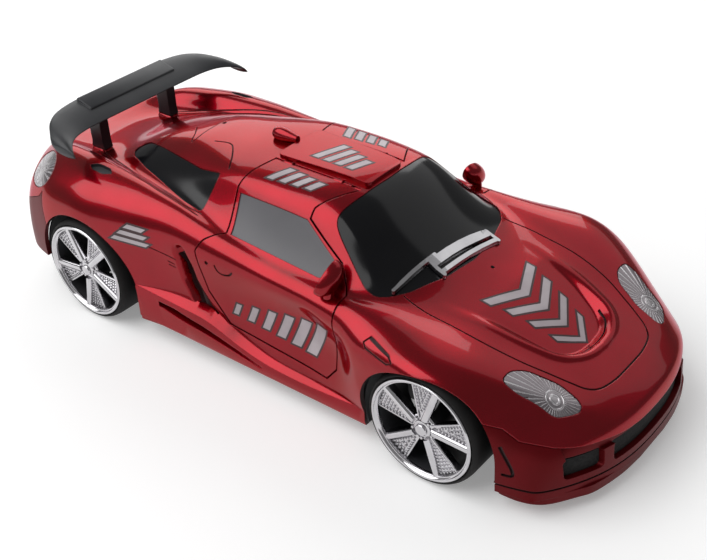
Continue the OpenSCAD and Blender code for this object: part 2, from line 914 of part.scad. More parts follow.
module chassis() {
  color(black)
    difference() {
      union() {
        tall(floor_bottom, floor_top)
          polygon(both_sides(chassis_edge));
        translate([bay_x - bay_l / 2 - bay_wall, -bay_w / 2 - bay_wall, floor_bottom])
          cube([bay_l + 2 * bay_wall, bay_w + 2 * bay_wall, bay_top - floor_bottom]);
        for (s = [-1, 1]) {
          translate([-axle_x - 7, s > 0 ? bearing_y : -bearing_y - bearing_l, floor_bottom])
            cube([14, bearing_l, hub_z + 7 - floor_bottom]);
          translate([axle_x - 5, s > 0 ? 20 : -king_y, floor_bottom])
            cube([10, king_y - 20, arm_top - floor_bottom]);
          translate([axle_x, s * king_y, floor_bottom])
            cylinder(r = 5, h = arm_top - floor_bottom);
        }
        for (p = board_posts)
          translate([board_x + p.x, p.y, floor_bottom])
            cylinder(r = 2, h = board_z - floor_bottom);
        for (p = servo_posts)
          translate([servo_x + p.x, p.y, floor_bottom])
            cylinder(r = 2.5, h = servo_z - floor_bottom);
      }
      translate([bay_x - bay_l / 2, -bay_w / 2, floor_bottom - 1])
        cube([bay_l, bay_w, bay_top]);
      translate([bay_x - bay_l / 2 - 1, -bay_w / 2 - 1, floor_bottom - 1])
        cube([bay_l + 8, bay_w + 2, cover_z - floor_bottom + 1]);
      for (s = [-1, 1]) {
        translate([-axle_x, s * (bearing_y + bearing_l / 2), hub_z])
          bar_y(bush_r, -bearing_l, bearing_l);
        translate([axle_x, s * king_y, 0])
          cylinder(r = king_r + running, h = 30);
      }
      for (p = screw_places)
        translate([p.x, p.y, 0]) {
          cylinder(r = screw_r + 0.1, h = 30);
          if (p.z == 0)
            cylinder(r = head_r + 0.1, h = floor_bottom + head_h);
        }
      translate([switch_x - switch_travel / 2 - 2, switch_y - 1.6, 0])
        cube([switch_travel + 4, 3.2, 30]);
    }
}

module screws() {
  color(steel)
    for (p = screw_places)
      translate([p.x, p.y, floor_bottom])
        difference() {
          union() {
            cylinder(r = head_r, h = head_h);
            cylinder(r = screw_r, h = p.z == 0 ? 14 : 5);
          }
          for (a = [0, 90])
            rotate(a)
              translate([-1.5, -0.3, -1])
                cube([3, 0.6, 1.7]);
        }
}

module battery_door() {
  color(black)
    difference() {
      translate([bay_x - bay_l / 2 - 0.8, -bay_w / 2 - 0.8, floor_bottom])
        cube([bay_l + 7.6, bay_w + 1.6, cover_z - floor_bottom]);
      translate([cover_screw_x, 0, 0]) {
        cylinder(r = screw_r + 0.1, h = 30);
        cylinder(r = head_r + 0.1, h = floor_bottom + head_h);
      }
      for (k = [0 : 4])
        translate([bay_x - bay_l / 2 + 4 + 2.4 * k, -10, floor_bottom - 1])
          cube([1.2, 20, 1.5]);
    }
}

module battery_cells() {
  color(brass)
    for (k = [0 : cells - 1])
      translate([bay_x + (k - (cells - 1) / 2) * cell_pitch, 0, cover_z + cell_d / 2 + 0.1]) {
        bar_y(cell_d / 2, -cell_l / 2, cell_l / 2 - 1);
        bar_y(2.7, -cell_l / 2, cell_l / 2);
      }
}

module circuit_board() {
  color(board_green)
    translate([board_x, 0, board_z]) {
      translate([-16, -22, 0])
        cube([32, 44, 1.6]);
      translate([-6, -9, 1.5])
        cube([9, 18, 2.1]);
      translate([-11, 14, 1.5])
        cylinder(r = 3, h = 8);
      translate([7, 8, 1.5])
        cube([6, 11, 4]);
      translate([7, -18, 1.5])
        cube([5, 13, 6]);
      translate([-13, -16, 1.5])
        cylinder(r = 2.4, h = 5);
    }
}

module switch_body() {
  color(steel)
    difference() {
      translate([switch_x - 7, switch_y - 3.5, floor_top])
        cube([14, 7, 6]);
      translate([switch_x - switch_travel / 2 - 2, switch_y - 1.6, floor_top - 1])
        cube([switch_travel + 4, 3.2, 4]);
    }
}

module switch_slider() {
  color(nylon)
    translate([switch_x - switch_travel / 2 - 1.5, switch_y - 1.3, floor_bottom + 0.3])
      cube([3, 2.6, floor_top - floor_bottom + 2.4]);
}

// Cockpit
tub_x0 = -26;
tub_x1 = 50;
tub_y = 38;
tub_z = bay_top;
tub_floor = 1.5;

module cockpit_tub() {
  color(black)
    difference() {
      translate([tub_x0, -tub_y, tub_z])
        cube([tub_x1 - tub_x0, 2 * tub_y, 14]);
      translate([tub_x0 + 1.5, -tub_y + 1.5, tub_z + tub_floor])
        cube([tub_x1 - tub_x0 - 3, 2 * tub_y - 3, 20]);
    }
}

module seats() {
  color(black)
    for (s = [-1, 1])
      side(s)
        translate([0, 0, tub_z + tub_floor])
          across(8, 31)
            polygon([[-23, 0], [8, 0], [10, 7], [7, 9], [-7, 6], [-15, 27], [-19, 29], [-22, 27]]);
}

module dashboard() {
  color(black)
    translate([0, 0, tub_z + tub_floor])
      across(-36, 36)
        polygon([[48, 0], [48, 18], [45, 20], [36, 17], [35, 11], [41, 8], [42, 0]]);
}

module steering_wheel() {
  color(black)
    translate([33, 19.5, tub_z + 16])
      rotate([0, -65, 0]) {
        rotate_extrude()
          translate([6.5, 0])
            circle(1, $fn = 24);
        for (a = [90, 210, 330])
          rotate(a)
            translate([0, -0.8, -0.5])
              cube([6.5, 1.6, 1]);
        translate([0, 0, -5])
          cylinder(r = 1.6, h = 5.6);
      }
}

// Drive: pinion, compound idler and axle gear in one upright plane each
pitch_small = small_teeth * gear_module / 2;
pitch_large = large_teeth * gear_module / 2;
centres = pitch_small + pitch_large + 0.06;
idler_angle = 18;
motor_angle = -20;
idler_x = -axle_x + centres * cos(idler_angle);
idler_z = hub_z + centres * sin(idler_angle);
motor_x = idler_x + centres * cos(motor_angle);
motor_z = idler_z + centres * sin(motor_angle);
tooth_up = 0.75 * gear_module;
tooth_down = 1.05 * gear_module;
tooth_play = 0.06;
pressure = 20;
gear_y0 = 5;
gear_y1 = 9.6;
pinion_y0 = 10.4;
pinion_y1 = 15;
wall_left = 16;
wall_right = 2;
wall_t = 2;
motor_r = 10;
motor_can_l = 27;
shaft_r = 1;
idler_r = 1.5;

// Involute of an angle, in degrees
function involute(a) = (tan(a) - a * PI / 180) * 180 / PI;

// Half the angle that a tooth takes up at a radius
function tooth_half(teeth, r) =
  let (pitch_r = teeth * gear_module / 2, base_r = pitch_r * cos(pressure))
  90 / teeth - tooth_play / pitch_r * 90 / PI + involute(pressure) - involute(acos(min(1, base_r / r)));

// Outline of a gear with one tooth centred on an angle
module gear_outline(teeth, phase) {
  pitch_r = teeth * gear_module / 2;
  base_r = pitch_r * cos(pressure);
  tip_r = pitch_r + tooth_up;
  root_r = pitch_r - tooth_down;
  start_r = max(base_r, root_r);
  flank = concat([root_r], [for (k = [0 : 4]) start_r + (tip_r - start_r) * k / 4]);
  polygon([for (t = [0 : teeth - 1])
    for (e = [-1, 1])
      for (k = [0 : len(flank) - 1])
        let (r = flank[e < 0 ? k : len(flank) - 1 - k])
        let (a = phase + 360 / teeth * t + e * tooth_half(teeth, max(r, start_r)))
        r * [cos(a), sin(a)]]);
}

module axle_gear() {
  color(nylon)
    translate([-axle_x, 0, hub_z])
      difference() {
        union() {
          across(gear_y0, gear_y1)
            gear_outline(large_teeth, idler_angle);
          bar_y(4, gear_y0 - 0.8, gear_y1);
        }
        bar_y(axle_d / 2, 0, 20);
      }
}

module idler_gear() {
  color(nylon)
    translate([idler_x, 0, idler_z])
      difference() {
        union() {
          across(gear_y0, pinion_y0 + eps)
            gear_outline(small_teeth, idler_angle + 180 + 180 / small_teeth);
          across(pinion_y0, pinion_y1 - 0.4)
            gear_outline(large_teeth, motor_angle);
        }
        bar_y(idler_r + running, 0, 20);
      }
}

module idler_shaft() {
  color(steel)
    translate([idler_x, 0, idler_z])
      bar_y(idler_r, wall_right, wall_left + wall_t);
}

module motor_pinion() {
  color(brass)
    translate([motor_x, 0, motor_z]) {
      across(pinion_y0 - 0.4, pinion_y1)
        gear_outline(small_teeth, motor_angle + 180 + 180 / small_teeth);
      bar_y(shaft_r, -motor_can_l + 6, pinion_y0);
    }
}

module motor() {
  color(steel)
    translate([motor_x, 0, motor_z])
      difference() {
        union() {
          bar_y(motor_r, wall_right - motor_can_l, wall_right);
          bar_y(3, wall_right - 1, wall_right + wall_t);
          bar_y(4, wall_right - motor_can_l - 2, wall_right - motor_can_l + 1);
        }
        bar_y(shaft_r + running, -motor_can_l + 5, 10);
        for (e = [-1, 1])
          translate([-20, -motor_can_l - 1, e > 0 ? motor_r - 1.6 : -motor_r - 8.4])
            cube([40, 40 - wall_right - wall_t, 10]);
      }
}

gearbox_x0 = -98;
gearbox_x1 = -46;
gearbox_top = 42;

module gearbox() {
  color(black)
    difference() {
      union() {
        for (y = [wall_right, wall_left])
          translate([gearbox_x0, y, floor_top])
            cube([gearbox_x1 - gearbox_x0, wall_t, gearbox_top - floor_top]);
        translate([gearbox_x0, wall_right, floor_top])
          cube([gearbox_x1 - gearbox_x0, wall_left + wall_t - wall_right, 1]);
      }
      translate([-axle_x, 0, hub_z])
        bar_y(axle_d / 2 + 2.6, 0, 30);
      translate([idler_x, 0, idler_z])
        bar_y(idler_r, 0, 30);
      translate([motor_x, 0, motor_z])
        bar_y(3, 0, wall_left - 1);
    }
}

module gearbox_cover() {
  color(black)
    difference() {
      translate([gearbox_x0 - 1.5, wall_right - 1.5, gearbox_top - 4])
        cube([gearbox_x1 - gearbox_x0 + 3, wall_left + wall_t - wall_right + 3, 5.5]);
      translate([gearbox_x0, wall_right, gearbox_top - 5])
        cube([gearbox_x1 - gearbox_x0, wall_left + wall_t - wall_right, 5]);
    }
}

module rear_axle() {
  color(steel)
    translate([-axle_x, 0, hub_z])
      bar_y(axle_d / 2, -face_y + axle_end, face_y - axle_end);
}

module axle_bushes() {
  color(brass)
    for (s = [-1, 1])
      translate([-axle_x, s > 0 ? 0 : -2 * bearing_y - bearing_l, hub_z])
        difference() {
          bar_y(bush_r, bearing_y, bearing_y + bearing_l);
          bar_y(axle_d / 2 + running, 0, 50);
        }
}

// Steering
knuckle_z0 = arm_top + 0.3;
knuckle_z1 = bridge_z - 0.3;
pin_z0 = 11;
rod_z0 = 12.2;
rod_h = 2.6;
rod_w = 6.4;
rod_end = 2.5;
arm_z0 = 15.4;
arm_h = 3;
steer_pin_r = 1.4;
steer_x = axle_x - steer_arm;
pin_shift = steer_arm * (1 - cos(steer_angle));

// Arm pointing to the rear from a pivot, with a pin under its end
module pin_arm() {
  translate([-steer_arm, -2.5, arm_z0])
    cube([steer_arm, 5, arm_h]);
  translate([-steer_arm, 0, arm_z0])
    cylinder(r = 2.5, h = arm_h);
  translate([-steer_arm, 0, pin_z0])
    cylinder(r = steer_pin_r, h = arm_z0 - pin_z0 + 1);
}

module knuckle(s) {
  color(black)
    translate([axle_x, s * king_y, 0]) {
      translate([0, 0, knuckle_z0])
        cylinder(r = 4, h = knuckle_z1 - knuckle_z0);
      translate([0, 0, floor_bottom + 0.4])
        cylinder(r = king_r, h = bridge_z + 2.6 - floor_bottom);
      translate([0, 0, hub_z])
        bar_y(axle_d / 2, s > 0 ? 0 : king_y - face_y + axle_end, s > 0 ? face_y - king_y - axle_end : 0);
      pin_arm();
    }
}

module knuckle_left() { knuckle(1); }
module knuckle_right() { knuckle(-1); }

module tie_rod() {
  color(black)
    difference() {
      translate([steer_x + pin_shift / 2 - rod_w / 2, -king_y - rod_end, rod_z0])
        cube([rod_w, 2 * (king_y + rod_end), rod_h]);
      for (y = [-king_y, 0, king_y])
        translate([0, y, rod_z0 - 1]) {
          for (x = [steer_x, steer_x + pin_shift])
            translate([x, 0, 0])
              cylinder(r = steer_pin_r + 0.12, h = rod_h + 2);
          translate([steer_x, -steer_pin_r - 0.12, 0])
            cube([pin_shift, 2 * steer_pin_r + 0.24, rod_h + 2]);
        }
    }
}

module servo_arm() {
  color(nylon)
    translate([axle_x, 0, 0]) {
      pin_arm();
      translate([0, 0, arm_z0])
        cylinder(r = 3.5, h = arm_h);
      translate([0, 0, arm_z0])
        cylinder(r = 2, h = servo_z + 5 - arm_z0);
    }
}

// Servo case with a bridge that holds the king pins from above
module steering_servo() {
  color(black)
    difference() {
      union() {
        translate([servo_x - 13, -14, servo_z])
          cube([26, 28, bridge_z + 2 - servo_z]);
        translate([axle_x - 5, -king_y, bridge_z])
          cube([10, 2 * king_y, 3]);
        for (s = [-1, 1])
          translate([axle_x, s * king_y, bridge_z])
            cylinder(r = 5, h = 3);
      }
      for (s = [-1, 1])
        translate([axle_x, s * king_y, bridge_z - 1])
          cylinder(r = king_r + running, h = 10);
      translate([axle_x, 0, servo_z - 1])
        cylinder(r = 2 + running, h = 6.5);
    }
}

body_shell();
front_bumper();
grille();
rear_bumper();
roof_panel();
roof_knob();
windscreen();
wiper();
quarter_glass_left();
quarter_glass_right();
headlight_left();
headlight_right();
tail_light_left();
tail_light_right();
wing_blade();
wing_post_left();
wing_post_right();
door_left();
door_right();
door_glass_left();
door_glass_right();
mirror_left();
mirror_right();
hinge_knuckles_left();
hinge_knuckles_right();
hinge_pin_left();
hinge_pin_right();
chassis();
battery_door();
battery_cells();
circuit_board();
switch_body();
switch_slider();
cockpit_tub();
seats();
dashboard();
steering_wheel();
motor();
motor_pinion();
idler_gear();
idler_shaft();
axle_gear();
rear_axle();
axle_bushes();
gearbox();
gearbox_cover();
rim_rear_left();
rim_rear_right();
rim_front_left();
rim_front_right();
tyre_rear_left();
tyre_rear_right();
tyre_front_left();
tyre_front_right();
knuckle_left();
knuckle_right();
tie_rod();
servo_arm();
steering_servo();
screws();
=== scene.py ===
import json
from functools import partial
from math import ceil, cos, exp, hypot, pi, radians, sin, tan

import bmesh
import bpy
from mathutils import Matrix, Vector


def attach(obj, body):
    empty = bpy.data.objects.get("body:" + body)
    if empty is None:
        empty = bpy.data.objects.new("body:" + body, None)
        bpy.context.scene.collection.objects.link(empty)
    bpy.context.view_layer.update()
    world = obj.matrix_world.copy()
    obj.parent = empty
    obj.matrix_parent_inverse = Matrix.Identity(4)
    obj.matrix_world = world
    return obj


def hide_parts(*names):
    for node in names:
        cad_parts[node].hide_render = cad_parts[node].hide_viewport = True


# Looks of a radio-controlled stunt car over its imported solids.
# Shapes are in millimetres in the car's frame: +X to the nose, +Y left, +Z up.
# Finished pieces are in metres.
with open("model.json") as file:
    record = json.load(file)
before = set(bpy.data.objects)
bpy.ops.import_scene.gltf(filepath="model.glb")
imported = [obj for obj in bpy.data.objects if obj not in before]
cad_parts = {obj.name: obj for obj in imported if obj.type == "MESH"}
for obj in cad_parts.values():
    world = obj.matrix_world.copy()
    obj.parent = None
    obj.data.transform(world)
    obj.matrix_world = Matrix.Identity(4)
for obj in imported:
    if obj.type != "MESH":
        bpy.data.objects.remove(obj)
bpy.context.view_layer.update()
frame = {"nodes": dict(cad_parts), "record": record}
scene = bpy.context.scene
MM = 0.001
X, Y, Z = range(3)
SIDES = {"left": 1, "right": -1}

# Paints of a shape, in the order of its material slots
OUTSIDE, INSIDE, BLACK = range(3)
PAINTS = 3

# Fineness of the meshes
SKIN_LEVEL, SKIN_CUTS, SKIN_PASSES = 3, 2, 4
ROUND_STEPS, SMALL_STEPS = 160, 64
WELD = 1e-4
SHARP_ANGLE = radians(35)

# Main places of the car
AXLE_X = 85.0
HUB_Z = 22.5
FACE_Y = 58.5
SILL_Z = 8.0
WALL = 2.0

# Cutters run out past the car to these
FAR_X, FAR_Y = 160, 80

# Body lines: each key is (row, half width, height), and a row bows back towards the sides
BOW_KEYS = ((-143.5, -17), (-100, -12.5), (-60, -5), (-14, 0), (33, 30), (68, 42), (100, 36), (143.5, 26))
BOW_HALF = 60.0
BOW_POWER = 2.5
ROWS = (
    -143.5, -142.5, -138, -130, -120, -109, -97, -84, -70, -56, -42, -29, -17, -4, 10,
    23, 34, 44, 54, 64, 74, 85, 96, 107, 117, 126, 134, 140, 143, 143.5,
)
SILL_LINE = (
    (-143.5, 46, SILL_Z), (-130, 54, SILL_Z), (-109, 56, SILL_Z), (-84, 57, SILL_Z), (-56, 54, SILL_Z),
    (-29, 51, SILL_Z), (54, 51, SILL_Z), (90, 51.5, SILL_Z), (107, 55, SILL_Z), (126, 57, SILL_Z),
    (143.5, 52, SILL_Z),
)
ROCKER_LINE = (
    (-143.5, 43, 16), (-138, 53, 20), (-120, 57, 22), (-97, 58.5, 22), (-70, 56, 20), (-42, 51, 19),
    (0, 50, 18), (54, 51, 18), (74, 53, 19), (90, 57, 20), (117, 60.5, 22), (134, 56, 20), (143.5, 50, 13),
)
WAIST_LINE = (
    (-143.5, 39, 28), (-138, 53, 34), (-120, 57.5, 40), (-97, 59.5, 42), (-70, 56.5, 40), (-42, 51, 38),
    (0, 48, 36), (54, 45.5, 38), (74, 50, 36), (90, 58, 36), (117, 62, 38), (125, 61.5, 36), (132, 58, 30),
    (143.5, 47, 18),
)
SHOULDER_LINE = (
    (-143.5, 34, 39), (-138, 49, 47), (-120, 54.5, 55), (-97, 57.5, 57), (-70, 56, 57), (-42, 53.5, 56),
    (-17, 53.5, 53), (20, 53, 51), (54, 53, 49), (74, 54, 48.5), (96, 59.5, 48), (107, 62, 48.5),
    (117, 64, 49), (125, 64.5, 46.5), (130, 60.5, 39.5), (134, 53.5, 31.5), (143.5, 43, 22),
)
CREST_LINE = (
    (-143.5, 26, 46), (-138, 32, 54), (-120, 31.5, 65), (-97, 34, 67.5), (-70, 38, 66.5), (-42, 41.5, 63.5),
    (-17, 45.5, 59), (20, 47, 55), (54, 47, 53.5), (74, 48, 53.5), (96, 49, 52), (112, 50, 50.8),
    (118, 49, 48.2), (124, 46, 43.8), (134, 40, 34.5), (143.5, 36, 25),
)
GUTTER_LINE = (
    (-143.5, 20, 49), (-138, 24, 54), (-120, 27, 56.5), (-97, 29.5, 57.5), (-70, 33, 57.5), (-42, 37, 57.5),
    (-17, 42, 57), (20, 42, 55), (54, 41.5, 53), (64, 41, 52), (74, 39, 52), (96, 36, 49), (112, 34, 45),
    (124, 33, 40.5), (134, 31, 34), (143.5, 29, 26),
)
RAIL_LINE = (
    (-143.5, 15, 50), (-138, 18, 53), (-120, 20, 54), (-97, 22, 57), (-84, 24, 61), (-56, 27, 65),
    (-29, 30, 69), (-17, 31, 70), (10, 31.5, 70), (34, 31, 69), (50, 34, 61), (62, 35, 54.5), (70, 32, 52),
    (96, 27, 47.5), (124, 24, 38), (134, 23, 33), (143.5, 22, 26.5),
)
CANT_LINE = (
    (-143.5, 10, 50), (-138, 11, 52.5), (-120, 13, 53.5), (-97, 15, 58.5), (-84, 16, 64), (-56, 18, 71),
    (-29, 25, 74), (-17, 28, 75), (10, 28, 75), (32, 27, 74), (44, 27, 68), (58, 27, 57.5), (66, 25, 53),
    (74, 22, 51), (96, 18, 47.5), (124, 16, 38), (134, 15, 33), (143.5, 15, 26.5),
)
MID_LINE = (
    (-143.5, 5, 50), (-138, 6, 52), (-120, 7, 53.5), (-97, 8, 59), (-84, 9, 66), (-56, 11, 74),
    (-29, 14, 76.5), (-17, 15, 76.5), (24, 15, 76.5), (34, 14, 75), (44, 14, 69), (58, 13, 58.5),
    (67, 12, 53), (74, 11, 51), (96, 9, 47.5), (124, 8, 38), (134, 8, 33), (143.5, 8, 26.5),
)
CROWN_LINE = (
    (-143.5, 0, 50), (-138, 0, 52), (-120, 0, 53.5), (-97, 0, 59), (-84, 0, 66.5), (-56, 0, 74.5),
    (-29, 0, 77), (24, 0, 77), (34, 0, 75.5), (44, 0, 69.5), (58, 0, 59), (68, 0, 53), (75, 0, 51),
    (96, 0, 47.5), (124, 0, 38), (134, 0, 33), (143.5, 0, 26.5),
)
HALF_LINES = (
    SILL_LINE, ROCKER_LINE, WAIST_LINE, SHOULDER_LINE, CREST_LINE,
    GUTTER_LINE, RAIL_LINE, CANT_LINE, MID_LINE, CROWN_LINE,
)


# Meshes and booleans
def new_object(name, bm):
    mesh = bpy.data.meshes.new(name)
    for _ in range(PAINTS):
        mesh.materials.append(None)
    bm.to_mesh(mesh)
    bm.free()
    obj = bpy.data.objects.new(name, mesh)
    scene.collection.objects.link(obj)
    return obj


def copy_of(obj):
    other = bpy.data.objects.new(obj.name, obj.data.copy())
    scene.collection.objects.link(other)
    return other


def discard(*objs):
    for obj in objs:
        bpy.data.objects.remove(obj)


def settle(obj):
    """Makes the modified shape the object's own mesh."""
    bpy.context.view_layer.update()
    shaped = obj.evaluated_get(bpy.context.evaluated_depsgraph_get())
    mesh = bpy.data.meshes.new_from_object(shaped)
    obj.modifiers.clear()
    obj.data = mesh
    return obj


def boolean(operation, obj, *tools):
    for tool in tools:
        step = obj.modifiers.new(operation, "BOOLEAN")
        step.operation = operation
        step.object = tool
        step.solver = "MANIFOLD"
    settle(obj)
    discard(*tools)
    return obj


minus = partial(boolean, "DIFFERENCE")
plus = partial(boolean, "UNION")
within = partial(boolean, "INTERSECT")


def joined(*objs):
    """One object of several, which keep their own shells."""
    bm = bmesh.new()
    for obj in objs:
        bm.from_mesh(obj.data)
    discard(*objs)
    return new_object("joined", bm)


def painted(obj, paint):
    for f in obj.data.polygons:
        f.material_index = paint
    return obj


def face_out(bm):
    """Turns the faces of a mesh to its outer side."""
    bmesh.ops.recalc_face_normals(bm, faces=bm.faces[:])


def cap_ends(bm):
    """Closes the open ends of a mesh."""
    bmesh.ops.holes_fill(bm, edges=[e for e in bm.edges if e.is_boundary])
    face_out(bm)


def thicken(bm, axis, low, high):
    """Gives a flat sheet square to the axis its depth from low to high."""
    face_out(bm)
    bmesh.ops.solidify(bm, geom=bm.faces[:], thickness=high - low)
    shift = Vector((0, 0, 0))
    shift[axis] = low - min(v.co[axis] for v in bm.verts)
    bmesh.ops.translate(bm, verts=bm.verts[:], vec=shift)
    face_out(bm)


def on_axis(axis, a, b):
    """Point of a flat outline: (x, y) in plan, (x, z) from the side, (y, z) from the front."""
    return {Z: (a, b, 0), Y: (a, 0, b), X: (0, a, b)}[axis]


def oblong(a, b, low, high):
    """Flat outline of four square corners."""
    return ((a, low), (b, low), (b, high), (a, high))


def prism(outline, axis, low, high, corner=0.0):
    """Closed prism over a flat outline, whose corners can be rounded."""
    bm = bmesh.new()
    bm.faces.new([bm.verts.new(on_axis(axis, *p)) for p in outline])
    if corner:
        bmesh.ops.bevel(
            bm, geom=bm.verts[:], offset=corner, segments=6, affect="VERTICES", profile=0.5, material=-1
        )
    thicken(bm, axis, low, high)
    return new_object("prism", bm)


def ribbon(path, width, axis, low, high, closed=False):
    """Closed upright strip of even width along a flat path."""
    bm = bmesh.new()
    pts = [Vector(p) for p in path]
    pairs = []
    for i, p in enumerate(pts):
        before = pts[i - 1] if i or closed else p
        after = pts[(i + 1) % len(pts)] if i + 1 < len(pts) or closed else p
        run = (after - before).normalized()
        out = Vector((-run.y, run.x)) * width / 2
        pairs.append([bm.verts.new(on_axis(axis, *q)) for q in (p - out, p + out)])
    for i in range(len(pairs) if closed else len(pairs) - 1):
        (a, b), (c, d) = pairs[i], pairs[(i + 1) % len(pairs)]
        bm.faces.new((a, c, d, b))
    thicken(bm, axis, low, high)
    return new_object("ribbon", bm)


def smooth_path(points, steps=6):
    """Rounded path through a few points."""
    pts = [Vector(p) for p in points]
    pts = [2 * pts[0] - pts[1], *pts, 2 * pts[-1] - pts[-2]]
    path = []
    for a, b, c, d in zip(pts, pts[1:], pts[2:], pts[3:]):
        square, cube = 2 * a - 5 * b + 4 * c - d, 3 * b - a - 3 * c + d
        for k in range(steps):
            t = k / steps
            path.append(0.5 * (2 * b + (c - a) * t + square * t**2 + cube * t**3))
    return [tuple(p) for p in path] + [tuple(pts[-2])]


def grown(outline, by):
    """Outline with each side moved outwards."""
    n = len(outline)
    pts = [Vector(p) for p in outline]
    turn = 1 if sum(pts[i - 1].cross(pts[i]) for i in range(n)) > 0 else -1
    moved = []
    for i in range(n):
        a, b, c = pts[i - 1], pts[i], pts[(i + 1) % n]
        u, v = (b - a).normalized(), (c - b).normalized()
        m, k = Vector((u.y, -u.x)) * turn, Vector((v.y, -v.x)) * turn
        moved.append(tuple(b + (m + k) * by / (1 + m.dot(k))))
    return moved


def two_sided(half):
    """Outline in plan from its left half, which runs from the rear or the middle to the front."""
    return list(half) + [(x, -y) for x, y in reversed(half) if y]


def draped(rows, columns, point):
    """Sheet of rows and columns of faces, with its corners where point(i, j) puts them."""
    bm = bmesh.new()
    bmesh.ops.create_grid(bm, x_segments=rows, y_segments=columns, size=0.5)
    for v in bm.verts:
        v.co = point(round((v.co.x + 0.5) * rows), round((v.co.y + 0.5) * columns))
    return bm


def wrapped(rings):
    """Closed body through rings of points: a sheet rolled up, welded and capped."""
    count = len(rings[0])
    bm = draped(len(rings) - 1, count, lambda i, j: rings[i][j % count])
    bmesh.ops.remove_doubles(bm, verts=bm.verts[:], dist=WELD)
    cap_ends(bm)
    return new_object("wrapped", bm)


def lofted(keys, section):
    """Closed body with the (y, z) points of section(*values) at the x of each (x, *values) key."""
    return wrapped([[(x, y, z) for y, z in section(*values)] for x, *values in keys])


def turned(profile, place, steps):
    """Closed body turned from a profile of (radius, depth), which is a ring unless it starts on the axis."""
    bm = bmesh.new()
    verts = [bm.verts.new((r, 0, d)) for r, d in profile]
    edges = [bm.edges.new(ends) for ends in zip(verts, verts[1:])]
    if profile[0][0]:
        edges.append(bm.edges.new((verts[-1], verts[0])))
    bmesh.ops.spin(
        bm, geom=verts + edges, cent=(0, 0, 0), axis=(0, 0, 1), angle=2 * pi, steps=steps, use_merge=True
    )
    bmesh.ops.remove_doubles(bm, verts=bm.verts[:], dist=WELD)
    bmesh.ops.transform(bm, matrix=place, verts=bm.verts[:])
    face_out(bm)
    return new_object("turned", bm)


def block(place, size, edge):
    """Block with rounded edges."""
    bm = bmesh.new()
    bmesh.ops.create_cube(bm, size=1)
    bmesh.ops.scale(bm, verts=bm.verts[:], vec=size)
    bmesh.ops.bevel(
        bm, geom=bm.edges[:], offset=edge, segments=3, affect="EDGES", profile=0.5, material=-1
    )
    bmesh.ops.transform(bm, matrix=place, verts=bm.verts[:])
    return new_object("block", bm)


def add_cone(bm, place, top, foot, rise, sides):
    """Adds a closed cone that runs along Z from its top to its foot."""
    bmesh.ops.create_cone(
        bm, cap_ends=True, segments=sides, radius1=top, radius2=foot, depth=rise, matrix=place
    )


def mirrored(obj):
    """Copy on the other side of the car."""
    other = copy_of(obj)
    other.data.transform(Matrix.Diagonal((1, -1, 1, 1)))
    other.data.flip_normals()
    return other


def both(*tools):
    """Left-hand tools, each with its mirror image."""
    return [t for tool in tools for t in (tool, mirrored(tool))]


def on_side(obj, s):
    """Copy of a shape that was made for the left, on side s."""
    return copy_of(obj) if s > 0 else mirrored(obj)


def piece(obj, name, body, materials, slot, *stands_for):
    """Finished piece: in metres, smooth between its sharp edges, on its body."""
    obj.name = obj.data.name = name
    obj.data.transform(Matrix.Scale(MM, 4))
    for paint, m in enumerate(materials):
        obj.data.materials[paint] = m
    while len(obj.data.materials) > len(materials):
        obj.data.materials.pop()
    obj.data.shade_smooth()
    obj.data.set_sharp_from_angle(angle=SHARP_ANGLE)
    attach(obj, body)
    if stands_for:
        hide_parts(*stands_for)


def pair(left, name, body, materials, slot, stands_for):
    """Two pieces from a left-hand shape. A name that ends in an underscore takes the side."""
    for side, s in SIDES.items():
        rides = body + side if body.endswith("_") else body
        piece(on_side(left, s), name + side, rides, materials, slot, stands_for + side)
    discard(left)


# Materials
TONE_ENDS = (0.35, 0.65)
BEVEL_SAMPLES = 4
FLAKE_DEPTH = 0.00005


def shader_of(m):
    return m.node_tree.nodes["Principled BSDF"]


def node(m, kind, **values):
    """New shader node with its inputs and settings."""
    n = m.node_tree.nodes.new("ShaderNode" + kind)
    for key, value in values.items():
        if key in n.inputs:
            n.inputs[key].default_value = value
        else:
            setattr(n, key, value)
    return n


def wire(m, source, target):
    m.node_tree.links.new(source, target)


def feed(m, source, socket):
    """Wires a value into the surface itself."""
    wire(m, source, shader_of(m).inputs[socket])


def object_coords(m):
    return node(m, "TexCoord").outputs["Object"]


def noise(m, scale, detail):
    """Cloudy pattern that stays with the object."""
    clouds = node(m, "TexNoise", Scale=scale, Detail=detail)
    wire(m, object_coords(m), clouds.inputs["Vector"])
    return clouds.outputs["Fac"]


def rounded_edges(m, radius):
    """Normals that round the edges, so that they catch the light."""
    return node(m, "Bevel", samples=BEVEL_SAMPLES, Radius=radius).outputs["Normal"]


def finish_of(name, base, rough, **sockets):
    m = bpy.data.materials.new(name)
    m.use_nodes = True
    shader = shader_of(m)
    shader.inputs["Base Color"].default_value = (*base, 1)
    shader.inputs["Roughness"].default_value = rough
    for socket, value in sockets.items():
        shader.inputs[socket.replace("_", " ")].default_value = value
    return m


def two_tone(name, base, light, dark, scale, rough, drift=(), grain=(), **sockets):
    """Finish between two tones, whose roughness can drift and whose surface can have a grain."""
    m = finish_of(name, base, rough, **sockets)
    ramp = node(m, "ValToRGB")
    for element, place, tone in zip(ramp.color_ramp.elements, TONE_ENDS, (dark, light)):
        element.position = place
        element.color = (*tone, 1)
    wire(m, noise(m, scale, detail=3), ramp.inputs["Fac"])
    feed(m, ramp.outputs["Color"], "Base Color")
    if drift:
        rough_between(m, *drift)
    if grain:
        grained(m, *grain)
    return m


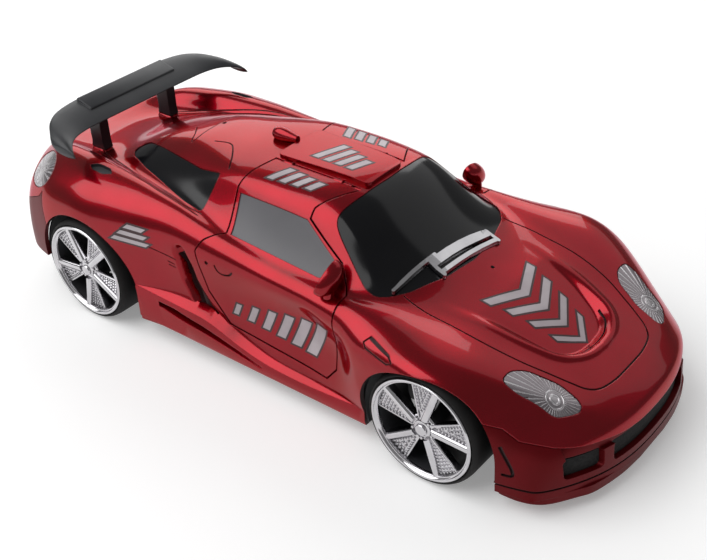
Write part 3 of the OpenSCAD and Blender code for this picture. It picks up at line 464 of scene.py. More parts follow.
def rough_between(m, low, high, scale):
    """Roughness that drifts between two values."""
    span = node(m, "MapRange", **{"To Min": low, "To Max": high})
    wire(m, noise(m, scale, detail=4), span.inputs["Value"])
    feed(m, span.outputs["Result"], "Roughness")


def grained(m, scale, strength, depth, edge=0.0):
    """Fine moulded grain, with rounded edges where a radius is given."""
    bump = node(m, "Bump", Strength=strength, Distance=depth)
    wire(m, noise(m, scale, detail=2), bump.inputs["Height"])
    if edge:
        wire(m, rounded_edges(m, edge), bump.inputs["Normal"])
    feed(m, bump.outputs["Normal"], "Normal")


def flaked(m, scale, strength, edge):
    """Fine metal flake under a smooth clear coat."""
    cells = node(m, "TexVoronoi", Scale=scale)
    wire(m, object_coords(m), cells.inputs["Vector"])
    bump = node(m, "Bump", Strength=strength, Distance=FLAKE_DEPTH)
    rounding = rounded_edges(m, edge)
    wire(m, cells.outputs["Distance"], bump.inputs["Height"])
    wire(m, rounding, bump.inputs["Normal"])
    feed(m, bump.outputs["Normal"], "Normal")
    feed(m, rounding, "Coat Normal")


# Finishes: base, light and dark tone, their scale and the roughness, then its drift and a grain
candy_red = two_tone(
    "candy_red", (0.26, 0.0008, 0.007), (0.27, 0.0009, 0.008), (0.24, 0.0007, 0.006), 60, 0.27, Metallic=0.9,
    Specular_IOR_Level=0.2, Specular_Tint=(1, 0.35, 0.45, 1), Coat_Weight=0.5, Coat_Roughness=0.04,
)
flaked(candy_red, 2600, 0.12, 0.0004)
satin_red = two_tone(
    "satin_red", (0.12, 0.001, 0.0035), (0.13, 0.0011, 0.004), (0.11, 0.0009, 0.003), 70, 0.45,
    grain=(3000, 0.08, 0.0001, 0.0004), Metallic=0.6, Specular_IOR_Level=0.2, Coat_Weight=0.05,
    Coat_Roughness=0.25,
)
# Dark inside paint: a painted shade that darkens inner faces, arch edges, grooves and recess floors of the
# red parts.
painted_shade_inside = two_tone(
    "painted_shade_inside", (0.03, 0.004, 0.005), (0.03, 0.004, 0.005), (0.022, 0.003, 0.004), 90, 0.6,
    grain=(1800, 0.1, 0.0001),
)
black_plastic = two_tone(
    "black_plastic", (0.02, 0.02, 0.023), (0.024, 0.024, 0.027), (0.017, 0.017, 0.02), 80, 0.5,
    grain=(2600, 0.15, 0.0001, 0.0003),
)
wing_black = two_tone(
    "wing_black", (0.018, 0.019, 0.022), (0.021, 0.022, 0.025), (0.015, 0.016, 0.019), 70, 0.38,
    drift=(0.32, 0.44, 400), grain=(3200, 0.1, 0.0001, 0.0005), Specular_IOR_Level=0.4,
)
screen_black = two_tone(
    "screen_black", (0.004, 0.004, 0.005), (0.005, 0.005, 0.006), (0.003, 0.003, 0.004), 30, 0.12,
    drift=(0.1, 0.15, 25), Specular_IOR_Level=0.25,
)
window_grey = two_tone(
    "window_grey", (0.075, 0.072, 0.081), (0.08, 0.077, 0.087), (0.066, 0.063, 0.072), 30, 0.35,
    drift=(0.3, 0.42, 25), Coat_Weight=0.1, Coat_Roughness=0.2,
)
chrome = two_tone(
    "chrome", (0.6, 0.59, 0.61), (0.62, 0.61, 0.63), (0.54, 0.53, 0.55), 120, 0.12, drift=(0.08, 0.18, 300),
    Metallic=1.0,
)
tyre_black = two_tone(
    "tyre_black", (0.007, 0.006, 0.006), (0.009, 0.008, 0.008), (0.005, 0.0045, 0.0045), 150, 0.7,
    grain=(2200, 0.25, 0.00015, 0.0003), Specular_IOR_Level=0.3,
)
steel = two_tone(
    "steel", (0.56, 0.56, 0.58), (0.58, 0.58, 0.6), (0.5, 0.5, 0.52), 200, 0.3, drift=(0.24, 0.4, 500),
    Metallic=1.0,
)
brass = two_tone(
    "brass", (0.7, 0.5, 0.2), (0.72, 0.52, 0.22), (0.62, 0.43, 0.16), 200, 0.25, drift=(0.2, 0.35, 500),
    Metallic=1.0,
)
nylon = two_tone(
    "nylon", (0.78, 0.76, 0.68), (0.8, 0.78, 0.7), (0.74, 0.72, 0.64), 100, 0.45,
    grain=(1500, 0.08, 0.0001, 0.0002), Subsurface_Weight=0.1,
)
board_green = two_tone(
    "board_green", (0.015, 0.12, 0.04), (0.02, 0.14, 0.05), (0.01, 0.09, 0.03), 500, 0.35,
    grain=(900, 0.1, 0.0001),
)
grille_cloth = two_tone(
    "grille_cloth", (0.008, 0.008, 0.008), (0.014, 0.013, 0.013), (0.004, 0.004, 0.004), 900, 0.9,
    grain=(1400, 0.6, 0.0003),
)
foil_silver = two_tone(
    "foil_silver", (0.42, 0.37, 0.39), (0.45, 0.4, 0.42), (0.38, 0.33, 0.35), 90, 0.4, drift=(0.34, 0.5, 250),
    Metallic=0.35,
)
foil_dark = two_tone(
    "foil_dark", (0.035, 0.012, 0.015), (0.045, 0.015, 0.018), (0.03, 0.01, 0.012), 90, 0.4,
    drift=(0.35, 0.5, 250),
)
cell_wrap = two_tone(
    "cell_wrap", (0.12, 0.12, 0.14), (0.14, 0.14, 0.16), (0.1, 0.1, 0.12), 150, 0.25, drift=(0.2, 0.35, 300),
    Metallic=0.4,
)


def stops(m, source, *keys):
    """Grey ramp through (place, level) keys."""
    ramp = node(m, "ValToRGB")
    elements = ramp.color_ramp.elements
    while len(elements) < len(keys):
        elements.new(0.5)
    for element, (place, level) in zip(elements, keys):
        element.position = place
        element.color = (level, level, level, 1)
    wire(m, source, ramp.inputs["Fac"])
    return ramp.outputs["Color"]


def maths(m, operation, *inputs):
    """Math node over sockets and numbers."""
    n = node(m, "Math", operation=operation)
    for socket, value in zip(n.inputs, inputs):
        if isinstance(value, (int, float)):
            socket.default_value = value
        else:
            wire(m, value, socket)
    return n.outputs[0]


# Lamps, with levels of relief by distance from the bulb in parts of the reach; low relief is painted darker
# as painted shade
LAMP_REACH = 12.0
BULB_RINGS = ((0.09, 0.5), (0.11, 1), (0.14, 1), (0.16, 0.2), (0.22, 0.2), (0.24, 1), (0.26, 1), (0.28, 0))
RIBS_FROM = ((0.26, 0), (0.3, 1))
RIB_SHAPE = ((0.5, 0), (0.9, 1))
LAMP_SHADED_TONE, LAMP_RAISED_TONE = (0.24, 0.21, 0.225, 1), (0.55, 0.53, 0.545, 1)


def ribbed_lamp(name, centre, ribs):
    """Silvered lamp with ribs that run out from a ringed bulb, the same on both sides of the car."""
    m = finish_of(name, (0.5, 0.48, 0.5), 0.26, Metallic=0.85, Coat_Weight=0.5, Coat_Roughness=0.05)
    split = node(m, "SeparateXYZ")
    wire(m, object_coords(m), split.inputs["Vector"])
    along = maths(m, "SUBTRACT", split.outputs["X"], centre[0] * MM)
    across = maths(m, "SUBTRACT", maths(m, "ABSOLUTE", split.outputs["Y"]), centre[1] * MM)
    squares = maths(m, "ADD", maths(m, "POWER", along, 2), maths(m, "POWER", across, 2))
    reach = maths(m, "DIVIDE", maths(m, "SQRT", squares), LAMP_REACH * MM)
    wave = maths(m, "COSINE", maths(m, "MULTIPLY", maths(m, "ARCTAN2", across, along), ribs))
    rib = maths(m, "MULTIPLY", stops(m, wave, *RIB_SHAPE), stops(m, reach, *RIBS_FROM))
    height = maths(m, "MAXIMUM", stops(m, reach, *BULB_RINGS), rib)
    bump = node(m, "Bump", Strength=0.9, Distance=0.0005)
    wire(m, height, bump.inputs["Height"])
    feed(m, bump.outputs["Normal"], "Normal")
    # Low parts of the relief are painted darker and raised parts lighter: a painted shade between the ribs
    # and rings.
    tone = node(m, "MixRGB", Color1=LAMP_SHADED_TONE, Color2=LAMP_RAISED_TONE)
    wire(m, height, tone.inputs["Fac"])
    feed(m, tone.outputs["Color"], "Base Color")
    return m


headlamp_silver = ribbed_lamp("headlamp_silver", (121.5, 33.4), 36)
tail_silver = ribbed_lamp("tail_silver", (-118.0, 46.0), 30)


# Body skin
def between(keys, row):
    """Key values at a row, straight between the keys."""
    for a, b in zip(keys, keys[1:]):
        if row <= b[0] or b is keys[-1]:
            t = (row - a[0]) / (b[0] - a[0])
            return [p + (q - p) * t for p, q in zip(a, b)]


def eased(t):
    """Soft step from 0 to 1."""
    t = min(max(t, 0), 1)
    return t * t * (3 - 2 * t)


def nearest(path, a, b):
    """Distance from a point to a flat path, and the path's values there."""
    p = Vector((a, b))
    found = []
    for u, v in zip(path, path[1:]):
        start = Vector(u[:2])
        run = Vector(v[:2]) - start
        t = min(max((p - start).dot(run) / run.length_squared, 0), 1)
        found.append(((p - start - run * t).length, [m + (n - m) * t for m, n in zip(u, v)]))
    return min(found)


# Bonnet trough in plan, with its depth, and its raised lip
TROUGH_EDGE = smooth_path((
    (70, 26.5), (80, 24.6), (88, 22.8), (98, 21), (106, 18.8), (112, 16.4), (116, 12.6), (118.6, 7),
    (119.4, 0),
))
TROUGH_DEPTH = ((70, 0), (84, 0.3), (98, 1.8), (112, 3.8), (120, 4.2))
TROUGH_WALL, TROUGH_OUT = 3.4, 0.6
LIP_HEIGHT, LIP_OUT, LIP_WIDTH = 0.7, 1.7, 1.2
BONNET_SPAN, BONNET_HALF, BONNET_LOW = (68, 124), 30, 28

# Side intake, from the side: (x, z, half width, depth)
INTAKE_PATH = (
    (-31.6, 47.4, 2.6, 3.2), (-29.8, 42, 3.1, 4.6), (-29, 36, 3.2, 4.8), (-26, 29.6, 3.2, 4.2),
    (-21.6, 24.6, 3, 2.4), (-16.5, 21.8, 2.6, 0.9), (-11, 20.4, 2.4, 0),
)
INTAKE_WALL, INTAKE_OUT = 1.5, 0.7
FLANK_SPAN, FLANK_FROM, FLANK_RISE = (-37, -9), 43, (17, 52)


def on_bonnet(p):
    return BONNET_SPAN[0] < p.x < BONNET_SPAN[1] and abs(p.y) < BONNET_HALF and p.z > BONNET_LOW


def on_flank(p):
    along = FLANK_SPAN[0] < p.x < FLANK_SPAN[1]
    return along and abs(p.y) > FLANK_FROM and FLANK_RISE[0] < p.z < FLANK_RISE[1]


def pressed_in(p):
    """Depth to which the skin is pressed in at a point of the bonnet or the flank."""
    if on_bonnet(p):
        gap, _ = nearest(TROUGH_EDGE, p.x, abs(p.y))
        inside = p.x < TROUGH_EDGE[-1][0] and abs(p.y) < between(TROUGH_EDGE, p.x)[1]
        gap = gap if inside else -gap
        depth = max(between(TROUGH_DEPTH, p.x)[1], 0)
        lip = LIP_HEIGHT * depth / TROUGH_DEPTH[-1][1] * exp(-((gap + LIP_OUT) / LIP_WIDTH) ** 2)
        return depth * eased((gap + TROUGH_OUT) / TROUGH_WALL) - lip
    gap, (_, _, half, depth) = nearest(INTAKE_PATH, p.x, p.z)
    return depth * eased((half + INTAKE_OUT - gap) / INTAKE_WALL)


def cage_point(i, j):
    """Control point of the skin at row i and column j, left sill to right sill."""
    last = len(HALF_LINES) - 1
    keys = HALF_LINES[min(j, 2 * last - j)]
    _, y, z = between(keys, ROWS[i])
    back = between(BOW_KEYS, ROWS[i])[1] * (y / BOW_HALF) ** BOW_POWER
    end = i in (0, len(ROWS) - 1)
    return Vector((ROWS[i] - back, y if j <= last else -y, SILL_Z if end else z))


FENDER_FROM, FENDER_KEPT = 57.0, 0.7
TAIL_FROM, TAIL_KEPT = -140.0, 0.9


def drawn_in(point):
    """Skin point with the widest and the hindmost parts drawn in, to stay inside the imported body."""
    x, y, z = point
    if x < TAIL_FROM:
        x = TAIL_FROM + (x - TAIL_FROM) * TAIL_KEPT
    over = abs(y) - FENDER_FROM
    if over > 0:
        y -= (1 - FENDER_KEPT) * over * (1 if y > 0 else -1)
    return x, y, z


def plain_skin():
    """Smooth outer face of the body, as one open sheet."""
    bm = draped(len(ROWS) - 1, 2 * len(HALF_LINES) - 2, cage_point)
    face_out(bm)
    top = max(bm.faces, key=lambda f: f.calc_center_median().z)
    top.normal_update()
    if top.normal.z < 0:
        bmesh.ops.reverse_faces(bm, faces=bm.faces[:])
    obj = new_object("skin", bm)
    step = obj.modifiers.new("smooth", "SUBSURF")
    step.levels = step.render_levels = SKIN_LEVEL
    step.boundary_smooth = "PRESERVE_CORNERS"
    settle(obj)
    for v in obj.data.vertices:
        v.co = drawn_in(v.co)
    return obj


def pressed_skin():
    """The skin with its trough, lip and intakes pressed into a finer mesh."""
    obj = plain_skin()
    bm = bmesh.new()
    bm.from_mesh(obj.data)
    for chosen in (on_bonnet, on_flank):
        edges = {e for f in bm.faces if chosen(f.calc_center_median()) for e in f.edges}
        bmesh.ops.subdivide_edges(bm, edges=list(edges), cuts=SKIN_CUTS, use_grid_fill=True)
    bm.normal_update()
    pressed = [v for v in bm.verts if on_bonnet(v.co) or on_flank(v.co)]
    for v in pressed:
        v.co -= v.normal * pressed_in(v.co)
    for _ in range(SKIN_PASSES):
        bmesh.ops.smooth_vert(
            bm, verts=pressed, factor=0.5, use_axis_x=True, use_axis_y=True, use_axis_z=True
        )
    discard(obj)
    return new_object("skin", bm)


skin = pressed_skin()


def layer(outer, inner):
    """Solid between two depths under the skin, with its inner face and its rim in the inside paint."""
    bm = bmesh.new()
    bm.from_mesh(skin.data)
    bm.normal_update()
    for v in bm.verts:
        v.co -= v.normal * outer
    obj = new_object("layer", bm)
    step = obj.modifiers.new("wall", "SOLIDIFY")
    step.thickness = inner - outer
    step.offset = -1
    step.material_offset = step.material_offset_rim = INSIDE
    return settle(obj)


# Outlines of the panels, along the seams of the solids
HINGE_Y, HINGE_Z = 13.0, 75.6
DOOR_GAP = 0.6
DOOR_REAR, DOOR_FRONT = -13.5, 27.0
DOOR_LIP, DOOR_SWING, DOOR_FOOT, SWING_ROOM = 45, 70, -100, 5
PAST_HINGE = -5
WINDOW_SWEEP = (-70, 10)
SCREEN_SPAN, QUARTER_SPAN, LAMP_SPAN, ROOF_SPAN = (45, 100), (50, 100), (25, 60), (60, 100)
GLASS_CORNER, LAMP_CORNER = 1.5, 2.0
SEAM_R = 0.65
LAMP_GAP = 0.25
SEAM_GAP = 0.12
DOOR_EDGE = (
    (-18, 30, 70.3), (-14, 42.5, 57.8), (-20, 49, 56.4), (-23, 50.5, 50), (-19.6, 50, 34), (-10, 49, 21.5),
    (39, 50, 18.4), (44, 50, 24.5), (44, 46.4, 40), (44, 50.8, 47.7), (43.5, 43.4, 52.7), (36, 38, 63),
    (18.2, 30, 66.7), (18.2, 28, 71),
)
WINDOW_EDGE = (
    (-15.8, 31, 68), (17, 31, 67.4), (32.5, 37.5, 62.2), (37, 40, 57), (30, 41.5, 53.6), (-12, 42, 57.2),
)
SCREEN_EDGE = (
    (30, 0), (29.3, 14), (27.8, 26), (28.5, 29.2), (31.6, 31.2), (47.7, 37.8), (52.3, 38.2), (56.1, 35.5),
    (60.5, 29.5), (66, 14), (67.8, 0),
)
QUARTER_EDGE = (
    (-30, 26.8), (-42.5, 25.6), (-60, 21.2), (-75, 17), (-84, 14.6), (-88, 16), (-89, 19), (-86, 22.5),
    (-74, 27.4), (-61, 31.3), (-42.5, 36.9), (-31, 38.8),
)
LAMP_EDGE = (
    (106.6, 42.4), (106.3, 36.5), (109.5, 31.8), (119.3, 27.5), (127.5, 27.2), (129.3, 29), (128, 32.6),
    (124.4, 38), (118, 39.6), (112.5, 42),
)
FRONT_SEAM = (
    (95, -1), (95, 38), (101, 36.7), (113, 33), (118.3, 29.1), (127.7, 26.5), (138, 25), (143.5, 23),
    (FAR_X, 23), (FAR_X, -1),
)
REAR_SEAM = ((-FAR_X, -1), (-FAR_X, 40), (-128, 40), (-113, 47), (-110.5, 50), (-107, 35), (-107, -1))
ROOF_EDGE = ((-13.5, 12.2), (28.8, 10.2))
ROOF_RISE = 1.6
GLASS_DEPTHS, LENS_DEPTHS, GRILLE_DEPTHS = (0.4, 1.7), (0.2, WALL), (WALL, WALL + 1.5)
TAIL_BOTTOM = 18.5
TAIL_LAMP_PLACE, TAIL_LAMP_TURN, TAIL_LAMP_SIZE = (-120, 45.5, 54.8), 24, (12, 10, 6.8)
HINGE_CHANNEL = ((-16.6, 27, SEAM_R), (-9.3, -4.7, 1.4), (14.7, 19.3, 1.4))
PLATE_EDGE = oblong(-17, 17, 21.5, 30.5)
TAIL_VENT = ((23, 22), (39, 22), (37, 26.5), (23, 26.5))

# Wheel arches: (x, z, radius), with the flare of their feet in radii, and their liners
FRONT_ARCH = (AXLE_X + 0.3, 18.7, 27.4)
REAR_ARCH = (-AXLE_X - 0.2, 19.6, 27.9)
ARCH_FLARE = ((1, -0.4), (1.02, -0.52), (1.08, -0.62), (1.2, -0.7), (1.2, -1))
ARCH_STEPS, ARCH_FROM = 36, 28
WELL_SPAN, WELL_WALL, WELL_FOOT, WELL_HOLE, WELL_CUT = (32.8, 53), 1.0, 10, 21, 50


def from_hinge(p):
    return (p[0], hypot(p[1] - HINGE_Y, p[2] - HINGE_Z))


def round_hinge(outline, start, end):
    """Solid swept by an outline of (row, distance) round the left door hinge, from start to end degrees."""
    bm = bmesh.new()
    a = radians(start)
    loop = [bm.verts.new((x, HINGE_Y + r * cos(a), HINGE_Z + r * sin(a))) for x, r in outline]
    edges = [bm.edges.new((loop[i - 1], loop[i])) for i in range(len(loop))]
    bmesh.ops.spin(
        bm, geom=loop + edges, cent=(0, HINGE_Y, HINGE_Z), axis=(1, 0, 0),
        angle=radians(end - start), steps=ceil((end - start) / 2.5),
    )
    cap_ends(bm)
    return new_object("round_hinge", bm)


def door_space(grow, inner_r, lip):
    """Room of the left door, up to the angle of its lip."""
    edge = [(DOOR_REAR, PAST_HINGE)] + [from_hinge(p) for p in DOOR_EDGE] + [(DOOR_FRONT, PAST_HINGE)]
    return round_hinge([(x, max(r, inner_r)) for x, r in grown(edge, grow)], DOOR_FOOT, lip)


def window_space():
    return round_hinge([from_hinge(p) for p in WINDOW_EDGE], *WINDOW_SWEEP)


def screen_space():
    return prism(two_sided(SCREEN_EDGE), Z, *SCREEN_SPAN, GLASS_CORNER)


def quarter_space():
    return prism(QUARTER_EDGE, Z, *QUARTER_SPAN, GLASS_CORNER)


def lamp_space(grow=0.0):
    return prism(grown(LAMP_EDGE, grow), Z, *LAMP_SPAN, LAMP_CORNER)


def tail_space(grow=0.0):
    """Egg round the left tail lamp."""
    turn = Matrix.Rotation(radians(TAIL_LAMP_TURN), 4, "Z")
    size = Matrix.Diagonal((*(r + grow for r in TAIL_LAMP_SIZE), 1))
    place = Matrix.Translation(TAIL_LAMP_PLACE) @ turn @ size
    bm = bmesh.new()
    bmesh.ops.create_uvsphere(bm, u_segments=48, v_segments=24, radius=1, matrix=place)
    return new_object("tail_space", bm)


def bar(axis, centre, length, r):
    """Round bar along X or Y, used as a cutter."""
    bm = bmesh.new()
    turn = Matrix.Rotation(pi / 2, 4, {X: "Y", Y: "X"}[axis])
    add_cone(bm, Matrix.Translation(centre) @ turn, r, r, length, ROUND_STEPS)
    return new_object("bar", bm)


def wheel_arch(x, z, r):
    """Cutter of a wheel arch: round above its centre, with upright sides that flare at the foot."""
    crown = [(cos(k * pi / ARCH_STEPS), sin(k * pi / ARCH_STEPS)) for k in range(ARCH_STEPS + 1)]
    foot = [(-a, b) for a, b in ARCH_FLARE] + [(a, b) for a, b in reversed(ARCH_FLARE)]
    return prism([(x + r * a, z + r * b) for a, b in crown + foot], Y, ARCH_FROM, FAR_Y)


def wheel_well(x, z, r):
    """Liner round the inside of a wheel arch, with an inner flange behind the tyre, all in black as a painted
    shade inside the arch.
    """
    low, high = WELL_SPAN
    tube = bar(Y, (x, (low + high) / 2, z), high - low, r + WELL_WALL)
    room = bar(Y, (x, low + WELL_WALL + high / 2, z), high, r)
    hole = bar(Y, (x, low, z), high, WELL_HOLE)
    below = prism(oblong(x - WELL_CUT, x + WELL_CUT, -WELL_CUT, WELL_FOOT), Y, 0, FAR_Y)
    return painted(minus(tube, room, hole, below), BLACK)


def region(outline):
    return prism(outline, Y, -FAR_Y, FAR_Y)


# Sill skirt: (row, half width, height of its edge)
SKIRT_KEYS = (
    (-64, 55.2, 25), (-33, 54.8, 23.5), (-21, 54.3, 22.5), (-12, 54, 20), (-3, 53.8, 16.8), (10, 53.7, 14),
    (26, 53.7, 13.2), (42, 53.8, 14), (58, 54, 15.5),
)
SKIRT_FOOT, SKIRT_BACK, SKIRT_FACE = 53.3, 48.5, 54.2

# Scoop in the skirt: (row, low edge, high edge, depth)
SKIRT_SLOT = (
    (-44.7, 19.6, 21.8, 3.2), (-36, 17.9, 21.6, 2.8), (-20, 15.3, 18.6, 2.2), (0, 11.8, 14, 1.5),
    (8.4, 10.4, 11.8, 0.8),
)
SLOT_SLOPE, SLOT_OUT = 0.3, 4


def skirt(y, z):
    """Section of the skirt from its foot to its edge."""
    return (
        (SKIRT_BACK, SILL_Z), (SKIRT_FOOT, SILL_Z), (y, SILL_Z + 2), (y, z - 1), (y - 0.4, z),
        (y - 5, z + 2.5), (SKIRT_BACK, z + 2.5),
    )


def skirt_slot(low, high, depth):
    """Section of the scoop, whose floor slopes outwards."""
    back, out = SKIRT_FACE - depth, SKIRT_FACE + SLOT_OUT
    return ((back, low + depth * SLOT_SLOPE), (back, high), (out, high), (out, low - SLOT_OUT * SLOT_SLOPE))


# Nose openings over the splitter
NOSE_SPANS = ((-43, -29), (-25, 25), (29, 43))
NOSE_LOW, NOSE_HIGH, NOSE_FROM = 14.5, 22, 115
SPLITTER_EDGE = (
    (101, 52.4), (111, 52.4), (121, 51.5), (128.3, 47.7), (135, 38.5), (138.5, 32.3), (141.5, 20), (142.6, 9),
)
SPLITTER_BOTTOM, SPLITTER_WIDTH = 5.4, 7
SPLITTER_CUT, SPLITTER_BACK = (0, 20), (60, 111)


def nose_openings():
    return [
        prism(oblong(a, b, NOSE_LOW, NOSE_HIGH), X, NOSE_FROM, FAR_X, corner=1.6) for a, b in NOSE_SPANS
    ]


def splitter(inset, low, high):
    """Ring round the foot of the nose."""
    edge = grown(two_sided(smooth_path(SPLITTER_EDGE, 5)), -inset)
    middle = prism(grown(edge, -SPLITTER_WIDTH), Z, *SPLITTER_CUT)
    behind = prism(oblong(*SPLITTER_BACK, -FAR_Y, FAR_Y), Z, *SPLITTER_CUT)
    return minus(prism(edge, Z, low, high), middle, behind)


# Grooves and recesses in the red skin, made for the left side
CUT_SPAN = {Z: (30, 100), Y: (30, FAR_Y)}
CARVE_OUT = 0.6
BONNET_LINE = (
    (59.8, 31.9), (70, 33.2), (79.9, 33), (90, 32.6), (98.9, 31.4), (107, 29.4), (115.2, 26.2), (121.5, 23.6),
    (126.1, 21.2), (129.2, 17.2), (130.8, 10), (131.1, 3.3), (131.1, 0),
)
RIDGE_LINE = ((-109, 21.6), (-96, 26.4), (-82.4, 30.8), (-60, 37.5), (-44, 39.6), (-30, 40.5))
DECK_LINE = ((-46.4, 12.9), (-37.7, 12.7), (-31.5, 18.5), (-27.1, 25.3))
DECK_SEAM = ((-65.6, 4), (-61, 9.5), (-56.9, 13.9))
FENDER_SLOT = ((-91, 41.2), (-88, 43.2), (-81, 43.6), (-77, 41.9), (-80, 39.7), (-87, 39.4))
TRIM_LINES = (
    ((-61, 46.6), (-46, 44.9), (-34.5, 43.3)), ((-39, 41.2), (-35.6, 40.7)), ((-38.7, 39.7), (-35.4, 39.2)),
)
MARKER_EDGE = ((60.6, 48), (62.2, 49.4), (72.4, 48.2), (74.4, 46.9), (72.6, 45.9), (62.4, 46.9))
HANDLE_LINE = ((-13.4, 48.6), (-12.4, 46.4), (-10.2, 45.4), (-6.8, 46.2), (-4.6, 48.2))
KEYHOLE, NOZZLE, AERIAL_HOLE = (-17.5, 48.1), (74, 2.5), (-54.4, 1)
BUMPER_SLIT = ((113.6, 27.5), (118.4, 17.4), (114.8, 16.4))
INTAKE_LINE = ((-31.2, 46.6), (-29.8, 42), (-29, 36), (-26, 29.6), (-21.6, 24.6), (-17.5, 22.2))
INTAKE_WIDTH = 5.6
NOSE_STEP = oblong(118, FAR_X, -42, 42)
LIP_GROOVE = oblong(96, FAR_X, -70, 70)
GRILLE_EDGE, GRILLE_SPAN = oblong(110, FAR_X, -46, 46), (10.5, 21)
BEHIND = (-FAR_X, -100)
LIP_SLOT = ((110.5, 15.4), (114.6, 12.4), (117, 8), (118.1, 3.5), (118.3, 0))


def line(axis, path, width, closed=False):
    """Cutter along a path that is drawn from above or from the left."""
    return ribbon(path if closed else smooth_path(path), width, axis, *CUT_SPAN[axis], closed)


def cross_line(half, width):
    """Line across the middle of the car, from its left half."""
    return line(Z, two_sided(half), width)


def dot(axis, a, b, r):
    """Small round cutter."""
    circle = [(a + r * cos(k * pi / 10), b + r * sin(k * pi / 10)) for k in range(20)]
    return prism(circle, axis, *CUT_SPAN[axis])


def carved(depth, paint, *tools):
    """Tools trimmed to a shallow depth under the skin, in one paint."""
    return painted(within(layer(-CARVE_OUT, depth), joined(*tools)), paint)


# Red shell, its doors, bumpers, glass and lamps
shell = layer(0, WALL)
front_bumper = within(copy_of(shell), region(grown(FRONT_SEAM, -SEAM_GAP)))
rear_bumper = within(copy_of(shell), region(grown(REAR_SEAM, -SEAM_GAP)))
door = within(copy_of(shell), door_space(-DOOR_GAP / 2, SEAM_R, DOOR_LIP))
minus(shell, region(grown(FRONT_SEAM, SEAM_GAP)), region(grown(REAR_SEAM, SEAM_GAP)), screen_space())
plus(shell, *both(lofted(smooth_path(SKIRT_KEYS), skirt)))
POST_X, POST_Y, FOOT_Z = -109.5, 19.5, 56.8
FOOT_SIZE, FOOT_EDGE = (9.6, 5.6, 4.8), 1.4
foot = block(Matrix.Translation((POST_X, POST_Y, FOOT_Z - FOOT_SIZE[Z] / 2)), FOOT_SIZE, FOOT_EDGE)
plus(shell, *both(foot))
swing_space = door_space(DOOR_GAP / 2, 0.0, DOOR_LIP + DOOR_SWING + SWING_ROOM)
minus(shell, *both(swing_space, quarter_space()))
minus(shell, *both(lamp_space(LAMP_GAP), tail_space(LAMP_GAP)))
# The cut faces of the wheel arches take the dark inside paint, a painted shade for the dark inside the arch.
for arch in (FRONT_ARCH, REAR_ARCH):
    minus(shell, *both(painted(wheel_arch(*arch), INSIDE)))
for a, b, r in HINGE_CHANNEL:
    minus(shell, *both(bar(X, ((a + b) / 2, HINGE_Y, HINGE_Z), b - a, r)))

# Grooves along the panel lines, trim, ridges and seams, floored in the dark inside paint as painted shade.
left_lines = [line(Y, path, 0.45) for path in TRIM_LINES] + [line(Y, MARKER_EDGE, 0.6, closed=True)]
left_lines += [line(Z, [(x, y + off) for x, y in RIDGE_LINE], 0.4) for off in (-0.8, 0.8)]
left_lines += [line(Z, DECK_LINE, 0.45)]
minus(shell, *both(carved(0.45, INSIDE, *left_lines)))
minus(shell, carved(0.5, INSIDE, cross_line(BONNET_LINE, 0.55)))
minus(shell, carved(0.7, INSIDE, cross_line(LIP_SLOT, 0.6), cross_line(DECK_SEAM, 0.4)))
# The fender slot and the nozzle and aerial holes are shallow cuts painted black, a painted shade for their
# dark insides.
minus(shell, *both(carved(1.4, BLACK, prism(FENDER_SLOT, Z, *CUT_SPAN[Z], corner=1))))
minus(shell, carved(0.8, BLACK, dot(Z, *NOZZLE, 0.7), dot(Z, *AERIAL_HOLE, 0.9)))
minus(shell, *both(lofted(SKIRT_SLOT, skirt_slot)))
# The side intake's floor takes the dark inside paint, a painted shade for the deep channel.
minus(shell, *both(carved(1.0, INSIDE, line(Y, INTAKE_LINE, INTAKE_WIDTH))))
# Black wheel-arch liners, a painted shade for the dark inside the arches.
for arch in (FRONT_ARCH, REAR_ARCH):
    plus(shell, *both(wheel_well(*arch)))
minus(door, window_space())
# The handle groove and keyhole are floored in the dark inside paint as painted shade.
minus(door, carved(0.6, INSIDE, line(Y, HANDLE_LINE, 0.7), dot(Y, *KEYHOLE, 0.8)))

plus(front_bumper, splitter(0, SPLITTER_BOTTOM, SILL_Z + 1))
plus(front_bumper, splitter(1.8, SILL_Z, SILL_Z + 3))
minus(front_bumper, *nose_openings())
minus(front_bumper, *both(wheel_arch(*FRONT_ARCH), lamp_space(LAMP_GAP)))
# The bumper slit is floored in the dark inside paint as painted shade.
minus(front_bumper, *both(carved(0.9, INSIDE, line(Y, BUMPER_SLIT, 1.1))))
minus(front_bumper, carved(1.3, OUTSIDE, prism(NOSE_STEP, Z, NOSE_HIGH - 0.4, 32)))
# The lip groove is floored in the dark inside paint as painted shade.
minus(front_bumper, carved(0.7, INSIDE, prism(LIP_GROOVE, Z, SILL_Z + 3.2, SILL_Z + 3.9)))
tail_cut = prism(oblong(*BEHIND, -FAR_Y, FAR_Y), Z, 0, TAIL_BOTTOM)
minus(rear_bumper, tail_cut, *both(wheel_arch(*REAR_ARCH), tail_space(LAMP_GAP)))
minus(rear_bumper, carved(0.9, OUTSIDE, prism(PLATE_EDGE, X, *BEHIND, corner=1.5)))
# The tail vents are floored in the dark inside paint as painted shade.
minus(rear_bumper, *both(carved(1.1, INSIDE, prism(TAIL_VENT, X, *BEHIND, corner=1.2))))

glass = layer(*GLASS_DEPTHS)
windscreen = within(copy_of(glass), screen_space())
quarter = within(copy_of(glass), quarter_space())
window = within(glass, window_space())
lens = layer(*LENS_DEPTHS)
headlight = within(copy_of(lens), lamp_space())
tail_light = within(lens, tail_space())
roof_panel = within(layer(-ROOF_RISE, 0), prism(two_sided(ROOF_EDGE), Z, *ROOF_SPAN, corner=2))
grille = within(layer(*GRILLE_DEPTHS), prism(GRILLE_EDGE, Z, *GRILLE_SPAN))

